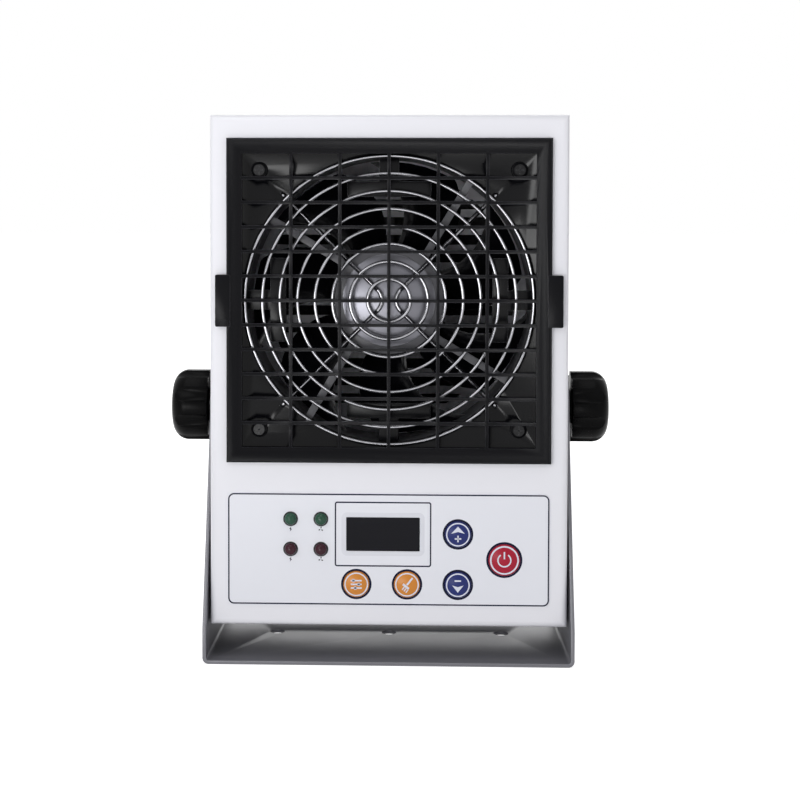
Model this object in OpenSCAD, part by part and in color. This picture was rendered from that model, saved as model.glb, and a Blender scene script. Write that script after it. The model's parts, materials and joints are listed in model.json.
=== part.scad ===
// Desktop ionizing blower: sheet-steel case on a U bracket, front emitter bay
// with pull-off grille, wire guard and axial fan, keypad and display below.
// The origin is on the underside of the bracket base, in the plane of the tilt
// axis. +X is the viewer's right, +Y the rear and +Z up. All sizes are in mm.

/* [Case] */
// Width of the case face on each side of the grille
side_margin = 7; // [6:0.5:20]
// Height of the case face above the grille
top_margin = 9.5; // [6:0.5:20]
// Height of the case face between grille and keypad
mid_margin = 12.5; // [8:0.5:20]
// Height of the case face below the keypad
bottom_margin = 8.8; // [6:0.2:20]
// Depth of the case, front face to back face
case_d = 80; // [76:1:110]
// Thickness of the case sheet
case_t = 1.2; // [1:0.1:1.6]
// Outside radius of the bent front edges
case_edge_r = 3; // [2:0.5:5]
// Width of the return flanges that carry the rear cover
flange_w = 9; // [8:0.5:12]

/* [Bracket] */
// Thickness of the bracket sheet
bracket_t = 1.5; // [1.2:0.1:2.5]
// Depth of the bracket base
base_d = 90; // [80:1:110]
// Air gap between the bracket base and the case
base_gap = 13; // [12:1:30]
// Gap between each bracket arm and the case
arm_gap = 1; // [0.8:0.1:2]
// Radius of the rounded arm top
arm_r = 20; // [14:1:26]
// Height of the upright lower end of each arm
arm_foot_h = 14; // [6:1:24]
// Inside radius of the sheet bends
bend_r = 1; // [0.6:0.1:2]
// Height of the tilt axis above the case bottom
pivot_up = 85; // [80:1:95]
// Pitch of the three bench holes
bench_pitch = 48; // [40:1:55]
// Radius of the bench holes
bench_r = 3.1; // [2:0.1:4]

/* [Tilt knobs] */
// Radius over the knob lobes
knob_r = 15; // [12:0.5:18]
// Length of the lobed knob body
knob_len = 15.4; // [10:0.2:20]
// Number of knob lobes
knob_lobes = 8; // [5:1:10]
// Radius of the flutes between the lobes
flute_r = 4.2; // [3:0.1:5]
// Depth of the flutes
flute_depth = 1.7; // [0.8:0.1:2.4]
// Radius of the rounded outer edge of the knob
knob_round = 6.5; // [2:0.5:8]
// Height of the hub that stands off the bracket arm
hub_h = 2.3; // [1:0.1:5]
// Radius of the hub
hub_r = 7.5; // [6:0.5:10]
// Radius of the threaded stud
stud_r = 3; // [2:0.1:4]
// Depth of the stud inside the case
stud_in = 9; // [6:0.5:14]

/* [Front grille] */
// Margin of the grille opening beyond the fan bore
bay_lip = 1.4; // [1:0.1:4]
// Width of the rim's inner slope
rim_slope = 2.8; // [2.4:0.1:5]
// Flat width of the outer rim
grille_rim = 3.2; // [2:0.1:5]
// Wall of the skirt that plugs into the case
skirt_t = 1.6; // [1.2:0.1:2]
// Height of the rim above the case face
grille_h = 2.5; // [1.5:0.1:4]
// Number of grille columns
grille_cols = 6; // [3:1:10]
// Number of grille rows
grille_rows = 12; // [6:1:20]
// Width of a grille bar
bar_w = 1.3; // [0.8:0.1:2]
// Depth of the grille bars
bar_d = 2.4; // [1.6:0.1:3]
// Length of a finger tab
tab_len = 20.8; // [12:0.4:40]
// Reach of a finger tab beyond the rim
tab_out = 4.4; // [2:0.2:4.6]

/* [Fan] */
// Outside width of the fan frame
fan_w = 119.5; // [116:0.5:140]
// Depth of the fan
fan_d = 25; // [22:0.5:32]
// Wall between fan bore and the side of its frame
fan_wall = 2.15; // [1.8:0.05:3]
// Distance of the fan screws from the side of the frame
fan_hole_inset = 7.25; // [6.5:0.05:8]
// Radius of the fan screw shank
fan_screw_r = 2; // [1.5:0.1:2.2]
// Radius of the rotor hub
rotor_hub_r = 21; // [18:0.5:26]
// Number of fan blades
blade_count = 7; // [5:1:11]
// Gap between blade tip and bore
tip_gap = 1.2; // [0.6:0.1:3]
// Twist of the blades over their depth
blade_twist = 34; // [20:1:45]
// Margin of the motor base around its cap disc
cap_margin = 3.2; // [1:0.1:5]
// Radius of the rotor shaft
shaft_r = 1.5; // [1:0.1:2.5]

/* [Wire guard] */
// Reach of the outermost ring beyond the fan bore
guard_over = 0.6; // [0:0.1:1]
// Reach of the spoke ends beyond the outermost ring
spoke_over = 2.6; // [2.2:0.1:3]
// Radius of the innermost ring
guard_in_r = 8.6; // [6:0.1:12]
// Number of rings
guard_rings = 8; // [4:1:10]
// Radius of the ring wire
ring_wire_r = 0.75; // [0.5:0.05:0.9]
// Radius of the spoke wire
spoke_wire_r = 0.9; // [0.7:0.05:1]
// Bend radius where a spoke wire turns at the middle
spoke_bend_r = 6; // [3:0.5:10]
// Distance of each spoke wire's bend from the fan axis
spoke_apex = 2.9; // [2:0.1:6]
// Bend where a spoke turns back into the tray
peg_turn_r = 1.2; // [1:0.1:2]

/* [Emitters] */
// Distance of the emitter blocks from the fan bore
emitter_inset = 12.6; // [8:0.2:18]
// Length of an emitter block
emitter_len = 34; // [20:1:40]
// Thickness of an emitter block
emitter_t = 6.4; // [4:0.2:8]
// Length of an emitter needle outside its block
needle_len = 6; // [3:0.5:10]

/* [Control panel] */
// Margin by which the keypad film is narrower than the grille, each side
film_inset = 0.3; // [0:0.1:2]
// Height of the keypad film
panel_h = 45.2; // [44:0.2:48]
// Thickness of the keypad film
panel_t = 0.5; // [0.3:0.1:1]
// Radius of the round keys
key_r = 5.2; // [4:0.1:5.6]
// Radius of the power key
power_key_r = 6.3; // [5:0.1:7]
// Height of the keys above the film
key_proud = 0.6; // [0.3:0.1:1.5]
// Travel of the keys
key_travel = 0.5; // [0.2:0.1:0.6]
// Radius of the status lamps
lamp_r = 2.5; // [1.5:0.1:3]
// Width of the display window
window_w = 29.4; // [24:0.2:34]
// Height of the display window
window_h = 13.5; // [11:0.1:15]
// Depth of the display module
display_d = 7; // [6:0.1:8]
// Thickness of the circuit board
board_t = 1.6; // [1:0.1:2]

/* [Rear] */
// Margin of the square filter frame beyond the fan, each side
filter_over = 0.25; // [0:0.05:0.5]
// Height of the filter base
filter_base_h = 3; // [2:0.5:5]
// Height of the filter cover
filter_cover_h = 7; // [5:0.5:10]
// Thickness of the filter foam
foam_t = 3; // [2:0.5:4]
// Wall of the filter frames
filter_wall = 2; // [1.5:0.5:3]
// Pitch of the intake louvre bars
louvre_pitch = 8; // [6:0.5:12]
// Width of the mains inlet body
inlet_w = 27; // [24:0.5:30]
// Height of the mains inlet body
inlet_h = 19.5; // [18:0.5:22]
// Height of the inlet above the case bottom
inlet_up = 28; // [24:1:34]
// Distance of the inlet's middle from the case side
inlet_inset = 34; // [30:1:42]
// Distance of the earth terminal from the case side
earth_inset = 27; // [20:1:40]

/* [Clearances] */
// Side clearance of parts that slip into an opening
slip_gap = 0.4; // [0.2:0.05:0.6]
// Radial clearance of running fits
run_gap = 0.08; // [0.02:0.01:0.1]
// Radial clearance of screws in plain holes
screw_gap = 0.2; // [0.1:0.05:0.5]
// Radial clearance around keys and lamps
key_gap = 0.15; // [0.1:0.05:0.3]

/* [Hidden] */
$fn = 64;
eps = 0.01;

// Sizes that follow from the fan
fan_bore_r = fan_w / 2 - fan_wall;
fan_screw_xy = fan_w / 2 - fan_hole_inset;
guard_r = fan_bore_r + guard_over;
emitter_r = fan_bore_r - emitter_inset;
filter_w = fan_w + 2 * filter_over;
grille_open = 2 * (fan_bore_r + bay_lip);
grille_w = grille_open + 2 * (rim_slope + grille_rim);
bay_open = grille_open + 2 * (skirt_t + slip_gap);
panel_w = grille_w - 2 * film_inset;
case_w = grille_w + 2 * side_margin;
case_h = top_margin + grille_w + mid_margin + panel_h + bottom_margin;

// Heights
case_z = bracket_t + base_gap;
pivot_z = case_z + pivot_up;
fan_z = case_z + case_h - top_margin - grille_w / 2;
panel_z = case_z + bottom_margin + panel_h / 2;
inlet_z = case_z + inlet_up;
inlet_x = inlet_inset - case_w / 2;
earth_x = case_w / 2 - earth_inset;

// Depth planes, from the front face back
front_y = -case_d / 2;
back_y = case_d / 2;
wall_y = front_y + case_t;
tray_t = 1.5;
tray_y = front_y + 5.9;
fan_y = tray_y + tray_t;
spoke_y = tray_y - spoke_wire_r;
weld = 0.2;
bend_slim = 0.02;
bend_lap = 2;
peg_lap = 8;
ring_y = spoke_y - spoke_wire_r - ring_wire_r + weld;

// Grille rim and bars
rim_bevel = 0.6;
bar_y = front_y - 0.6;
skirt_y = wall_y + 1.2;
tab_rise = 0.8;

// Tilt joint, from the case side outwards
arm_in_x = case_w / 2 + arm_gap;
arm_out_x = arm_in_x + bracket_t;
knob_in_x = arm_out_x + hub_h;
knob_out_x = knob_in_x + knob_len;
insert_x = knob_in_x + knob_len * 0.6;
nut_h = 5;
nut_r = 6;

// Fan inside
flange_t = 4;
strut_d = 3;
strut_w = 3;
motor_base_r = rotor_hub_r + 1;
motor_cap_r = motor_base_r - cap_margin;
rotor_y0 = fan_y + strut_d + 1;
rotor_y1 = fan_y + fan_d - 1.5;
hub_wall = 2;
stator_r = rotor_hub_r - hub_wall - 1;
fan_nut_h = 3;
fan_screw_len = flange_t + tray_t + fan_nut_h + 1;
fan_head_h = 1.6;

strut_lean = 14;
cap_t = 0.4;
blade_arc = 26;
blade_t = 1.8;

// Emitters
needle_r = 0.6;
foot_w = 8;
foot_t = 2;
foot_r = fan_w / 2 + 1.25;

// Board, display and keys
board_y = front_y + 8;
board_inset = 2.1;
board_w = panel_w - 2 * board_inset;
board_h = panel_h - 2 * board_inset;
film_y = front_y - panel_t;
lamp_y = film_y - 0.2;
key_y = film_y - key_proud;
key_flange = 1;
key_flange_t = 0.8;
switch_h = 3;
switch_w = 6;
plunger_h = 0.4;
lamp_inset = 25.4;
lamp_gap = 12.2;
mode_left = 10.7;
clean_right = 9.7;
step_inset = 36.7;
power_inset = 18.1;
lamp_x = [lamp_inset - panel_w / 2, lamp_inset + lamp_gap - panel_w / 2];
lamp_up = 12.2;
lamp_down = 0;
display_x = -2.1;
display_z = panel_z + 6.2;
key_row_z = panel_z - 14;
key_top_z = panel_z + 6.4;
power_z = (key_row_z + key_top_z) / 2;
mode_x = display_x - mode_left;
clean_x = display_x + clean_right;
step_x = panel_w / 2 - step_inset;
power_x = panel_w / 2 - power_inset;
post_r = 2.6;
post_x = board_w / 2 - 4;
post_z = board_h / 2 - 4;

// Rear
cover_y = back_y - case_t;
cover_gap = 0.3;
cover_w = case_w - 2 * case_t - 2 * cover_gap;
cover_h = case_h - 2 * case_t - 2 * cover_gap;
cover_screw_x = cover_w / 2 - flange_w / 2;
cover_screw_z = cover_h / 2 - 12;
cover_screw_r = 1.5;
intake_r = filter_w / 2 - filter_wall - 2;
inlet_flange_w = 50;
inlet_flange_h = 22.5;
inlet_flange_t = 2.5;
inlet_pitch = 40;
inlet_depth = 20;
inlet_wall = 1.8;
earth_r = 2.5;
screw_clear = 2.5;
foam_w = 2 * (fan_screw_xy - screw_clear);
rear_screw_in = 5;
pin_tail = 6;
pin_sunk = 4;
socket_depth = 15;

// High-voltage module
module_w = 70;
module_d = 34;
module_h = 26;
module_x = 20;
module_y = 12;
module_ear = 8;

// ---------------------------------------------------------------- helpers

// Extrudes an outline drawn in X and Z from y0 to y1.
module along_y(y0, y1) {
    translate([0, y1, 0]) rotate([90, 0, 0]) linear_extrude(y1 - y0) children();
}

// Extrudes an outline drawn in Y and Z from x0 to x1.
module along_x(x0, x1) {
    translate([x0, 0, 0]) rotate([90, 0, 90]) linear_extrude(x1 - x0) children();
}

// Round bar along Y through the point x, z.
module rod_y(x, z, r, y0, y1) {
    translate([x, y1, z]) rotate([90, 0, 0]) cylinder(r = r, h = y1 - y0);
}

// Round bar along X through the point y, z.
module rod_x(y, z, r, x0, x1) {
    translate([x0, y, z]) rotate([0, 90, 0]) cylinder(r = r, h = x1 - x0);
}

// Turns a profile of radius and Y position about the Y direction through x, z.
module turn_y(x, z) {
    translate([x, 0, z]) rotate([-90, 0, 0]) rotate_extrude() children();
}

// Rectangle w by h with round corners of radius r, centred.
module round_rect(w, h, r) {
    square([w - 2 * r, h], center = true);
    square([w, h - 2 * r], center = true);
    for (sx = [-1, 1], sy = [-1, 1])
        translate([sx * (w / 2 - r), sy * (h / 2 - r)]) circle(r);
}

// Repeats a child at the four corners of a rectangle of half sizes dx, dz.
module four_corners(dx, dz) {
    for (sx = [-1, 1], sz = [-1, 1])
        translate([sx * dx, 0, sz * dz]) children();
}

// Mirrors a child to the left side when side is -1.
module on_side(side) {
    if (side < 0) mirror([1, 0, 0]) children();
    else children();
}

// ---------------------------------------------------------------- bracket

// Side outline of one bracket arm: upright foot, then tangents to the round top.
module arm_outline() {
    half = base_d / 2;
    rise = pivot_z - arm_foot_h;
    reach = sqrt(half * half + rise * rise);
    turn = asin(arm_r / reach) + atan2(half, rise);
    ty = arm_r * cos(turn);
    tz = arm_r * sin(turn);
    polygon([[-half, 0], [half, 0], [half, arm_foot_h], [ty, pivot_z + tz],
             [-ty, pivot_z + tz], [-half, arm_foot_h]]);
    translate([0, pivot_z]) circle(arm_r);
}

// Solid with the width and round bottom bends of the bracket, grown by t.
module bend_outline(t) {
    half = arm_in_x + t;
    r = bend_r + t;
    z0 = bracket_t - t;
    top = pivot_z + arm_r + 1;
    translate([-half, z0 + r]) square([2 * half, top - z0 - r + t]);
    translate([-half + r, z0]) square([2 * (half - r), r + eps]);
    for (s = [-1, 1]) translate([s * (half - r), z0 + r]) circle(r);
}

module bracket() {
    color("silver")
    difference() {
        intersection() {
            along_y(-base_d / 2, base_d / 2)
                difference() { bend_outline(bracket_t); bend_outline(0); }
            along_x(-arm_out_x - 1, arm_out_x + 1) arm_outline();
        }
        rod_x(0, pivot_z, stud_r + run_gap, -arm_out_x - 1, arm_out_x + 1);
        for (i = [-1, 0, 1])
            translate([i * bench_pitch, 0, -1]) cylinder(r = bench_r, h = bracket_t + 2);
    }
}

// ---------------------------------------------------------------- case

// Case body shrunk by t on every side, running back to y1.
module case_body(t, y1) {
    r = max(case_edge_r - t, 0.2);
    depth = y1 - front_y - t;
    intersection() {
        translate([0, y1 - depth / 2, case_z + t]) linear_extrude(case_h - 2 * t)
            round_rect(case_w - 2 * t, depth, r);
        along_x(-case_w / 2, case_w / 2)
            translate([y1 - depth / 2, case_z + case_h / 2])
                round_rect(depth, case_h - 2 * t, r);
    }
}

// Positions of the five keys as [x, z, radius].
function key_places() = [[mode_x, key_row_z, key_r], [clean_x, key_row_z, key_r],
                         [step_x, key_top_z, key_r], [step_x, key_row_z, key_r],
                         [power_x, power_z, power_key_r]];

// Heights of the two lamp rows.
function lamp_rows() = [panel_z + lamp_up, panel_z + lamp_down];

// Holes for keys, lamps and display through the front wall and film.
module control_holes(y0, y1) {
    for (k = key_places()) rod_y(k[0], k[1], k[2] + key_gap, y0, y1);
    for (x = lamp_x, z = lamp_rows()) rod_y(x, z, lamp_r + key_gap, y0, y1);
    along_y(y0, y1) translate([display_x, display_z])
        square([window_w + 2 * key_gap, window_h + 2 * key_gap], center = true);
}

module housing_shell() {
    color("white")
    difference() {
        union() {
            difference() {
                case_body(0, back_y + case_edge_r);
                case_body(case_t, back_y + case_edge_r + 1);
                translate([-case_w, back_y, case_z - 1])
                    cube([2 * case_w, 2 * case_edge_r, case_h + 2]);
            }
            for (s = [-1, 1]) on_side(s)
                translate([case_w / 2 - case_t - flange_w, cover_y - case_t, case_z + 2])
                    cube([flange_w + eps, case_t, case_h - 4]);
        }
        along_y(front_y - 1, wall_y + 1)
            translate([0, fan_z]) square(bay_open, center = true);
        control_holes(front_y - 1, wall_y + 1);
        rod_x(0, pivot_z, stud_r + screw_gap, -case_w, case_w);
        translate([0, 0, case_z + case_h / 2]) four_corners(cover_screw_x, cover_screw_z)
            rod_y(0, 0, cover_screw_r + screw_gap, cover_y - case_t - 1, cover_y + 1);
        for (s = [-1, 1])
            translate([module_x + s * (module_w + module_ear) / 2, module_y, case_z - 1])
                cylinder(r = cover_screw_r + screw_gap, h = case_t + 2);
    }
}

module rear_cover() {
    color("white")
    difference() {
        along_y(cover_y, back_y) translate([0, case_z + case_h / 2])
            round_rect(cover_w, cover_h, 1.5);
        along_y(cover_y - 1, back_y + 1) translate([0, fan_z]) intersection() {
            circle(intake_r);
            for (z = [-6 : 6]) translate([0, z * louvre_pitch])
                square([2 * intake_r, louvre_pitch * 0.55], center = true);
        }
        translate([0, 0, case_z + case_h / 2]) four_corners(cover_screw_x, cover_screw_z)
            rod_y(0, 0, cover_screw_r + screw_gap, cover_y - 1, back_y + 1);
        translate([0, 0, fan_z]) four_corners(fan_screw_xy, fan_screw_xy)
            rod_y(0, 0, cover_screw_r + screw_gap, cover_y - 1, back_y + 1);
        along_y(cover_y - 1, back_y + 1) translate([inlet_x, inlet_z])
            square([inlet_w + 2 * slip_gap, inlet_h + 2 * slip_gap], center = true);
        for (s = [-1, 1]) rod_y(inlet_x + s * inlet_pitch / 2, inlet_z,
                                cover_screw_r + screw_gap, cover_y - 1, back_y + 1);
        rod_y(earth_x, inlet_z, earth_r + screw_gap, cover_y - 1, back_y + 1);
    }
}

// Pan-head screw along Y: the head lies on the face at y, the shank runs to y - len.
module rear_screw(x, z, y, r, len) {
    translate([x, 0, z]) rotate([-90, 0, 0]) rotate_extrude()
        polygon([[0, y - len], [r, y - len], [r, y], [2 * r, y],
                 [2 * r, y + 0.8 * r], [1.5 * r, y + 1.2 * r], [0, y + 1.2 * r]]);
}

module cover_screws() {
    color("silver")
    translate([0, 0, case_z + case_h / 2]) four_corners(cover_screw_x, cover_screw_z)
        rear_screw(0, 0, back_y, cover_screw_r, 8);
}

// ---------------------------------------------------------------- tilt joint

module tilt_washer(side) {
    color("dimgray") on_side(side) difference() {
        rod_x(0, pivot_z, hub_r + 1.5, case_w / 2, arm_in_x);
        rod_x(0, pivot_z, stud_r + screw_gap, case_w / 2 - 1, arm_in_x + 1);
    }
}
module tilt_washer_left() { tilt_washer(-1); }
module tilt_washer_right() { tilt_washer(1); }

// Weld nut fixed to the inside of the case wall.
module tilt_nut(side) {
    inner = case_w / 2 - case_t;
    color("silver") on_side(side) difference() {
        translate([inner - nut_h, 0, pivot_z]) rotate([0, 90, 0])
            cylinder(r = nut_r, h = nut_h, $fn = 6);
        rod_x(0, pivot_z, stud_r + run_gap, inner - nut_h - 1, inner + 1);
    }
}
module tilt_nut_left() { tilt_nut(-1); }
module tilt_nut_right() { tilt_nut(1); }

// Half-section of the knob: straight skirt and a well-rounded outer edge.
module knob_section() {
    square([knob_r - knob_round, knob_len]);
    square([knob_r, knob_len - knob_round]);
    translate([knob_r - knob_round, knob_len - knob_round]) intersection() {
        circle(knob_round);
        square(knob_round);
    }
}

// Lobed hand knob: fluted grip with a rounded end, on a plain hub.
module knob(side) {
    color([0.05, 0.05, 0.06]) on_side(side) difference() {
        union() {
            rod_x(0, pivot_z, hub_r, arm_out_x, knob_in_x + 1);
            intersection() {
                along_x(knob_in_x, knob_out_x) translate([0, pivot_z]) difference() {
                    circle(knob_r);
                    for (i = [0 : knob_lobes - 1]) rotate((i + 0.5) * 360 / knob_lobes)
                        translate([knob_r + flute_r - flute_depth, 0]) circle(flute_r);
                }
                translate([knob_in_x, 0, pivot_z]) rotate([0, 90, 0]) rotate_extrude()
                    knob_section();
            }
        }
        rod_x(0, pivot_z, stud_r, arm_out_x - 1, insert_x);
    }
}
module knob_left() { knob(-1); }
module knob_right() { knob(1); }

module stud(side) {
    color("silver") on_side(side)
        rod_x(0, pivot_z, stud_r, case_w / 2 - stud_in, insert_x);
}
module stud_left() { stud(-1); }
module stud_right() { stud(1); }

// ---------------------------------------------------------------- front grille

// Cross-section of the grille rim at the top side, drawn in Y and Z.
module rim_section() {
    half = grille_w / 2;
    in = grille_open / 2;
    out = bay_open / 2 - slip_gap;
    top = front_y - grille_h;
    polygon([[bar_y, in], [top, half - grille_rim], [top, half - rim_bevel],
             [top + rim_bevel, half], [front_y, half], [front_y, out],
             [skirt_y, out], [skirt_y, in]]);
}

// One side of the rim, mitred at 45 degrees at both ends.
module rim_side() {
    half = grille_w / 2 + 1;
    intersection() {
        along_x(-half, half) rim_section();
        along_y(front_y - 10, wall_y + 10) polygon([[0, 0], [half, half], [-half, half]]);
    }
}

module front_grille() {
    col = grille_open / grille_cols;
    row = grille_open / grille_rows;
    color("black") translate([0, 0, fan_z]) {
        for (a = [0 : 90 : 270]) rotate([0, a, 0]) rim_side();
        along_y(bar_y, bar_y + bar_d) {
            for (i = [1 : grille_cols - 1]) translate([i * col - grille_open / 2, 0])
                square([bar_w, grille_open + 1], center = true);
            for (j = [1 : grille_rows - 1]) translate([0, j * row - grille_open / 2])
                square([grille_open + 1, bar_w], center = true);
        }
        for (s = [-1, 1]) on_side(s)
            along_y(front_y - grille_h - tab_rise, front_y)
                translate([grille_w / 2 + (tab_out - rim_bevel - 1) / 2, 0])
                    round_rect(tab_out + rim_bevel + 1, tab_len, rim_bevel);
    }
}

// ---------------------------------------------------------------- fan bay

// Recessed tray behind the case front: flange, four walls and a pierced plate.
module fan_tray() {
    outer = bay_open + 2 * tray_t;
    color([0.08, 0.08, 0.09]) difference() {
        union() {
            along_y(wall_y, wall_y + tray_t) translate([0, fan_z])
                round_rect(outer + 5, outer + 5, 2);
            along_y(wall_y, tray_y + tray_t) translate([0, fan_z])
                square(outer, center = true);
        }
        along_y(wall_y - 1, tray_y) translate([0, fan_z]) square(bay_open, center = true);
        rod_y(0, fan_z, fan_bore_r, tray_y - 1, tray_y + tray_t + 1);
        translate([0, 0, fan_z]) {
            four_corners(fan_screw_xy, fan_screw_xy)
                rod_y(0, 0, fan_screw_r + screw_gap, tray_y - 1, tray_y + tray_t + 1);
            four_corners(spoke_end()[0], spoke_end()[1])
                rod_y(0, 0, spoke_wire_r + run_gap, tray_y - 1, tray_y + tray_t + 1);
        }
    }
}

// Where a spoke leaves the bend at the middle, as [x, z].
function spoke_start() = [spoke_apex + spoke_bend_r * (1 - sqrt(0.5)), spoke_bend_r * sqrt(0.5)];

// Length of a straight spoke at 45 degrees, until it is out_r from the fan axis.
function spoke_run(p, out_r) =
    (sqrt(2 * out_r * out_r - (p[0] - p[1]) * (p[0] - p[1])) - p[0] - p[1]) / sqrt(2);

// Where a spoke turns back into the tray, as [x, z].
function spoke_end() =
    spoke_start() + [1, 1] * spoke_run(spoke_start(), guard_r + spoke_over) / sqrt(2);

// One spoke from the bend at the middle, toward up-right, to its turned-back peg.
module spoke() {
    start = spoke_start();
    run = spoke_run(start, guard_r + spoke_over);
    translate([start[0], 0, start[1]]) rotate([0, -45, 0]) {
        translate([0, spoke_y, 0]) rotate([0, 90, 0])
            cylinder(r = spoke_wire_r, h = run - peg_turn_r);
        translate([run - peg_turn_r, spoke_y + peg_turn_r, 0]) rotate(-90 - peg_lap)
            rotate_extrude(angle = 90 + 2 * peg_lap)
                translate([peg_turn_r, 0]) circle(spoke_wire_r - bend_slim);
        rod_y(run, 0, spoke_wire_r, spoke_y + peg_turn_r, tray_y + tray_t);
    }
}

// Ring of wire about the fan axis.
module wire_ring(ring_r, wire_r, y, angle = 360, from = 0) {
    translate([0, y, 0]) rotate([-90, 0, 0]) rotate([0, 0, from])
        rotate_extrude(angle = angle) translate([ring_r, 0]) circle(wire_r);
}

module wire_guard() {
    step = (guard_r - guard_in_r) / (guard_rings - 1);
    color("gainsboro") translate([0, 0, fan_z]) {
        for (i = [0 : guard_rings - 1])
            wire_ring(guard_in_r + i * step, ring_wire_r, ring_y);
        for (s = [-1, 1]) on_side(s) {
            for (u = [-1, 1]) scale([1, 1, u]) spoke();
            translate([spoke_apex + spoke_bend_r, 0, 0])
                wire_ring(spoke_bend_r, spoke_wire_r - bend_slim, spoke_y,
                          90 + 2 * bend_lap, 135 - bend_lap);
        }
    }
}

// ---------------------------------------------------------------- fan

// Outline shared by both fan flanges.
module fan_flange(y0, y1) {
    along_y(y0, y1) difference() {
        round_rect(fan_w, fan_w, 4);
        circle(fan_bore_r);
    }
}

module fan_frame() {
    color([0.1, 0.1, 0.11]) translate([0, 0, fan_z]) difference() {
        union() {
            fan_flange(fan_y, fan_y + flange_t);
            fan_flange(fan_y + fan_d - flange_t, fan_y + fan_d);
            along_y(fan_y, fan_y + fan_d) difference() {
                circle(fan_w / 2);
                circle(fan_bore_r);
            }
            along_y(fan_y, fan_y + strut_d) for (a = [0 : 90 : 270]) rotate(a + 45)
                translate([motor_base_r - 2, 0])
                    rotate(strut_lean) square([fan_bore_r - motor_base_r + 4, strut_w]);
            rod_y(0, 0, motor_base_r, fan_y, fan_y + strut_d);
        }
        four_corners(fan_screw_xy, fan_screw_xy)
            rod_y(0, 0, fan_screw_r + screw_gap, fan_y - 1, fan_y + fan_d + 1);
        for (a = [0 : 90 : 270]) rotate([0, a, 0])
            along_y(fan_y - 1, fan_y + foot_t + slip_gap)
                translate([0, fan_w / 2]) square([foot_w + 2 * slip_gap, 8], center = true);
    }
}

// Wound motor core with its bearing tube, fixed to the motor base.
module fan_stator() {
    y0 = fan_y + strut_d;
    y1 = rotor_y1 - hub_wall - 1;
    color("sienna") difference() {
        turn_y(0, fan_z) union() {
            translate([0, y0]) square([stator_r * 0.6, y1 - y0]);
            translate([0, y0 + 3]) square([stator_r, y1 - y0 - 5]);
        }
        rod_y(0, fan_z, shaft_r + run_gap, y0 - eps, y1 + 1);
    }
}

// Outline of all the blades, each a thin crescent swept back along an arc.
module blade_outline(tip_r) {
    cx = rotor_hub_r - 3 + blade_arc * 0.55;
    cy = blade_arc * 0.8;
    intersection() {
        circle(tip_r, $fn = 48);
        for (i = [0 : blade_count - 1]) rotate(i * 360 / blade_count)
            intersection() {
                translate([cx, cy]) difference() {
                    circle(blade_arc, $fn = 36);
                    circle(blade_arc - blade_t, $fn = 36);
                }
                translate([rotor_hub_r - 4, cy - 2 * blade_arc])
                    square([2 * blade_arc, 2 * blade_arc]);
            }
    }
}

module fan_rotor() {
    h = rotor_y1 - rotor_y0 - 1;
    color([0.06, 0.06, 0.07]) {
        translate([0, rotor_y1 - 1, fan_z]) rotate([90, 0, 0])
            linear_extrude(h, twist = -blade_twist, slices = 5, segments = 0) difference() {
                blade_outline(fan_bore_r - tip_gap);
                circle(rotor_hub_r - 0.5, $fn = 36);
            }
        turn_y(0, fan_z) polygon([[0, rotor_y1 - hub_wall], [rotor_hub_r - hub_wall, rotor_y1 - hub_wall],
            [rotor_hub_r - hub_wall, rotor_y0], [rotor_hub_r, rotor_y0],
            [rotor_hub_r, rotor_y1 - 1], [rotor_hub_r - 1, rotor_y1], [0, rotor_y1]]);
        rod_y(0, fan_z, shaft_r, fan_y + strut_d + 0.5, rotor_y1 - 1);
    }
}

// Brushed cap on the front of the motor base.
module motor_cap() {
    color("lightgray") rod_y(0, fan_z, motor_cap_r, fan_y - cap_t, fan_y);
}

// Screw along Y with its head in front of the face at y.
module front_screw(x, z, y, r, len, head_r, head_h) {
    translate([x, 0, z]) rotate([-90, 0, 0]) rotate_extrude()
        polygon([[0, y - head_h], [head_r * 0.7, y - head_h], [head_r, y - head_h * 0.5],
                 [head_r, y], [r, y], [r, y + len], [0, y + len]]);
}

module fan_screws() {
    color("black") translate([0, 0, fan_z]) four_corners(fan_screw_xy, fan_screw_xy)
        front_screw(0, 0, tray_y, fan_screw_r, fan_screw_len, fan_screw_r + 1.2, fan_head_h);
}

module fan_nuts() {
    y0 = fan_y + flange_t;
    color("silver") translate([0, 0, fan_z]) four_corners(fan_screw_xy, fan_screw_xy)
        difference() {
            translate([0, y0 + fan_nut_h, 0]) rotate([90, 0, 0])
                cylinder(r = fan_screw_r * 2, h = fan_nut_h, $fn = 6);
            rod_y(0, 0, fan_screw_r, y0 - 1, y0 + fan_nut_h + 1);
        }
}

// ---------------------------------------------------------------- emitters

// Insulating block on a foot that is clamped between tray and fan.
module emitter(angle) {
    y0 = fan_y - 1.2;
    color([0.12, 0.12, 0.13]) translate([0, 0, fan_z]) rotate([0, angle, 0])
        difference() {
            union() {
                along_y(fan_y, fan_y + strut_d) translate([0, emitter_r])
                    round_rect(emitter_len, emitter_t, 0.8);
                along_y(fan_y, fan_y + foot_t) translate([-foot_w / 2, emitter_r])
                    square([foot_w, foot_r - emitter_r]);
            }
            translate([0, fan_y + strut_d / 2, 0])
                cylinder(r = needle_r, h = emitter_r + emitter_t / 2 - 1);
        }
}
module emitter_top() { emitter(0); }
module emitter_right() { emitter(90); }
module emitter_bottom() { emitter(180); }
module emitter_left() { emitter(270); }

// Four pointed needles aimed at the fan axis.
module emitter_needles() {
    base = emitter_r + emitter_t / 2 - 1;
    tip = emitter_r - emitter_t / 2 - needle_len;
    color("silver") translate([0, fan_y + strut_d / 2, fan_z])
        for (a = [0 : 90 : 270]) rotate([0, a, 0]) rotate_extrude()
            polygon([[0, tip], [0.1, tip], [needle_r, tip + 3], [needle_r, base], [0, base]]);
}

// ---------------------------------------------------------------- electronics

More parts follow.
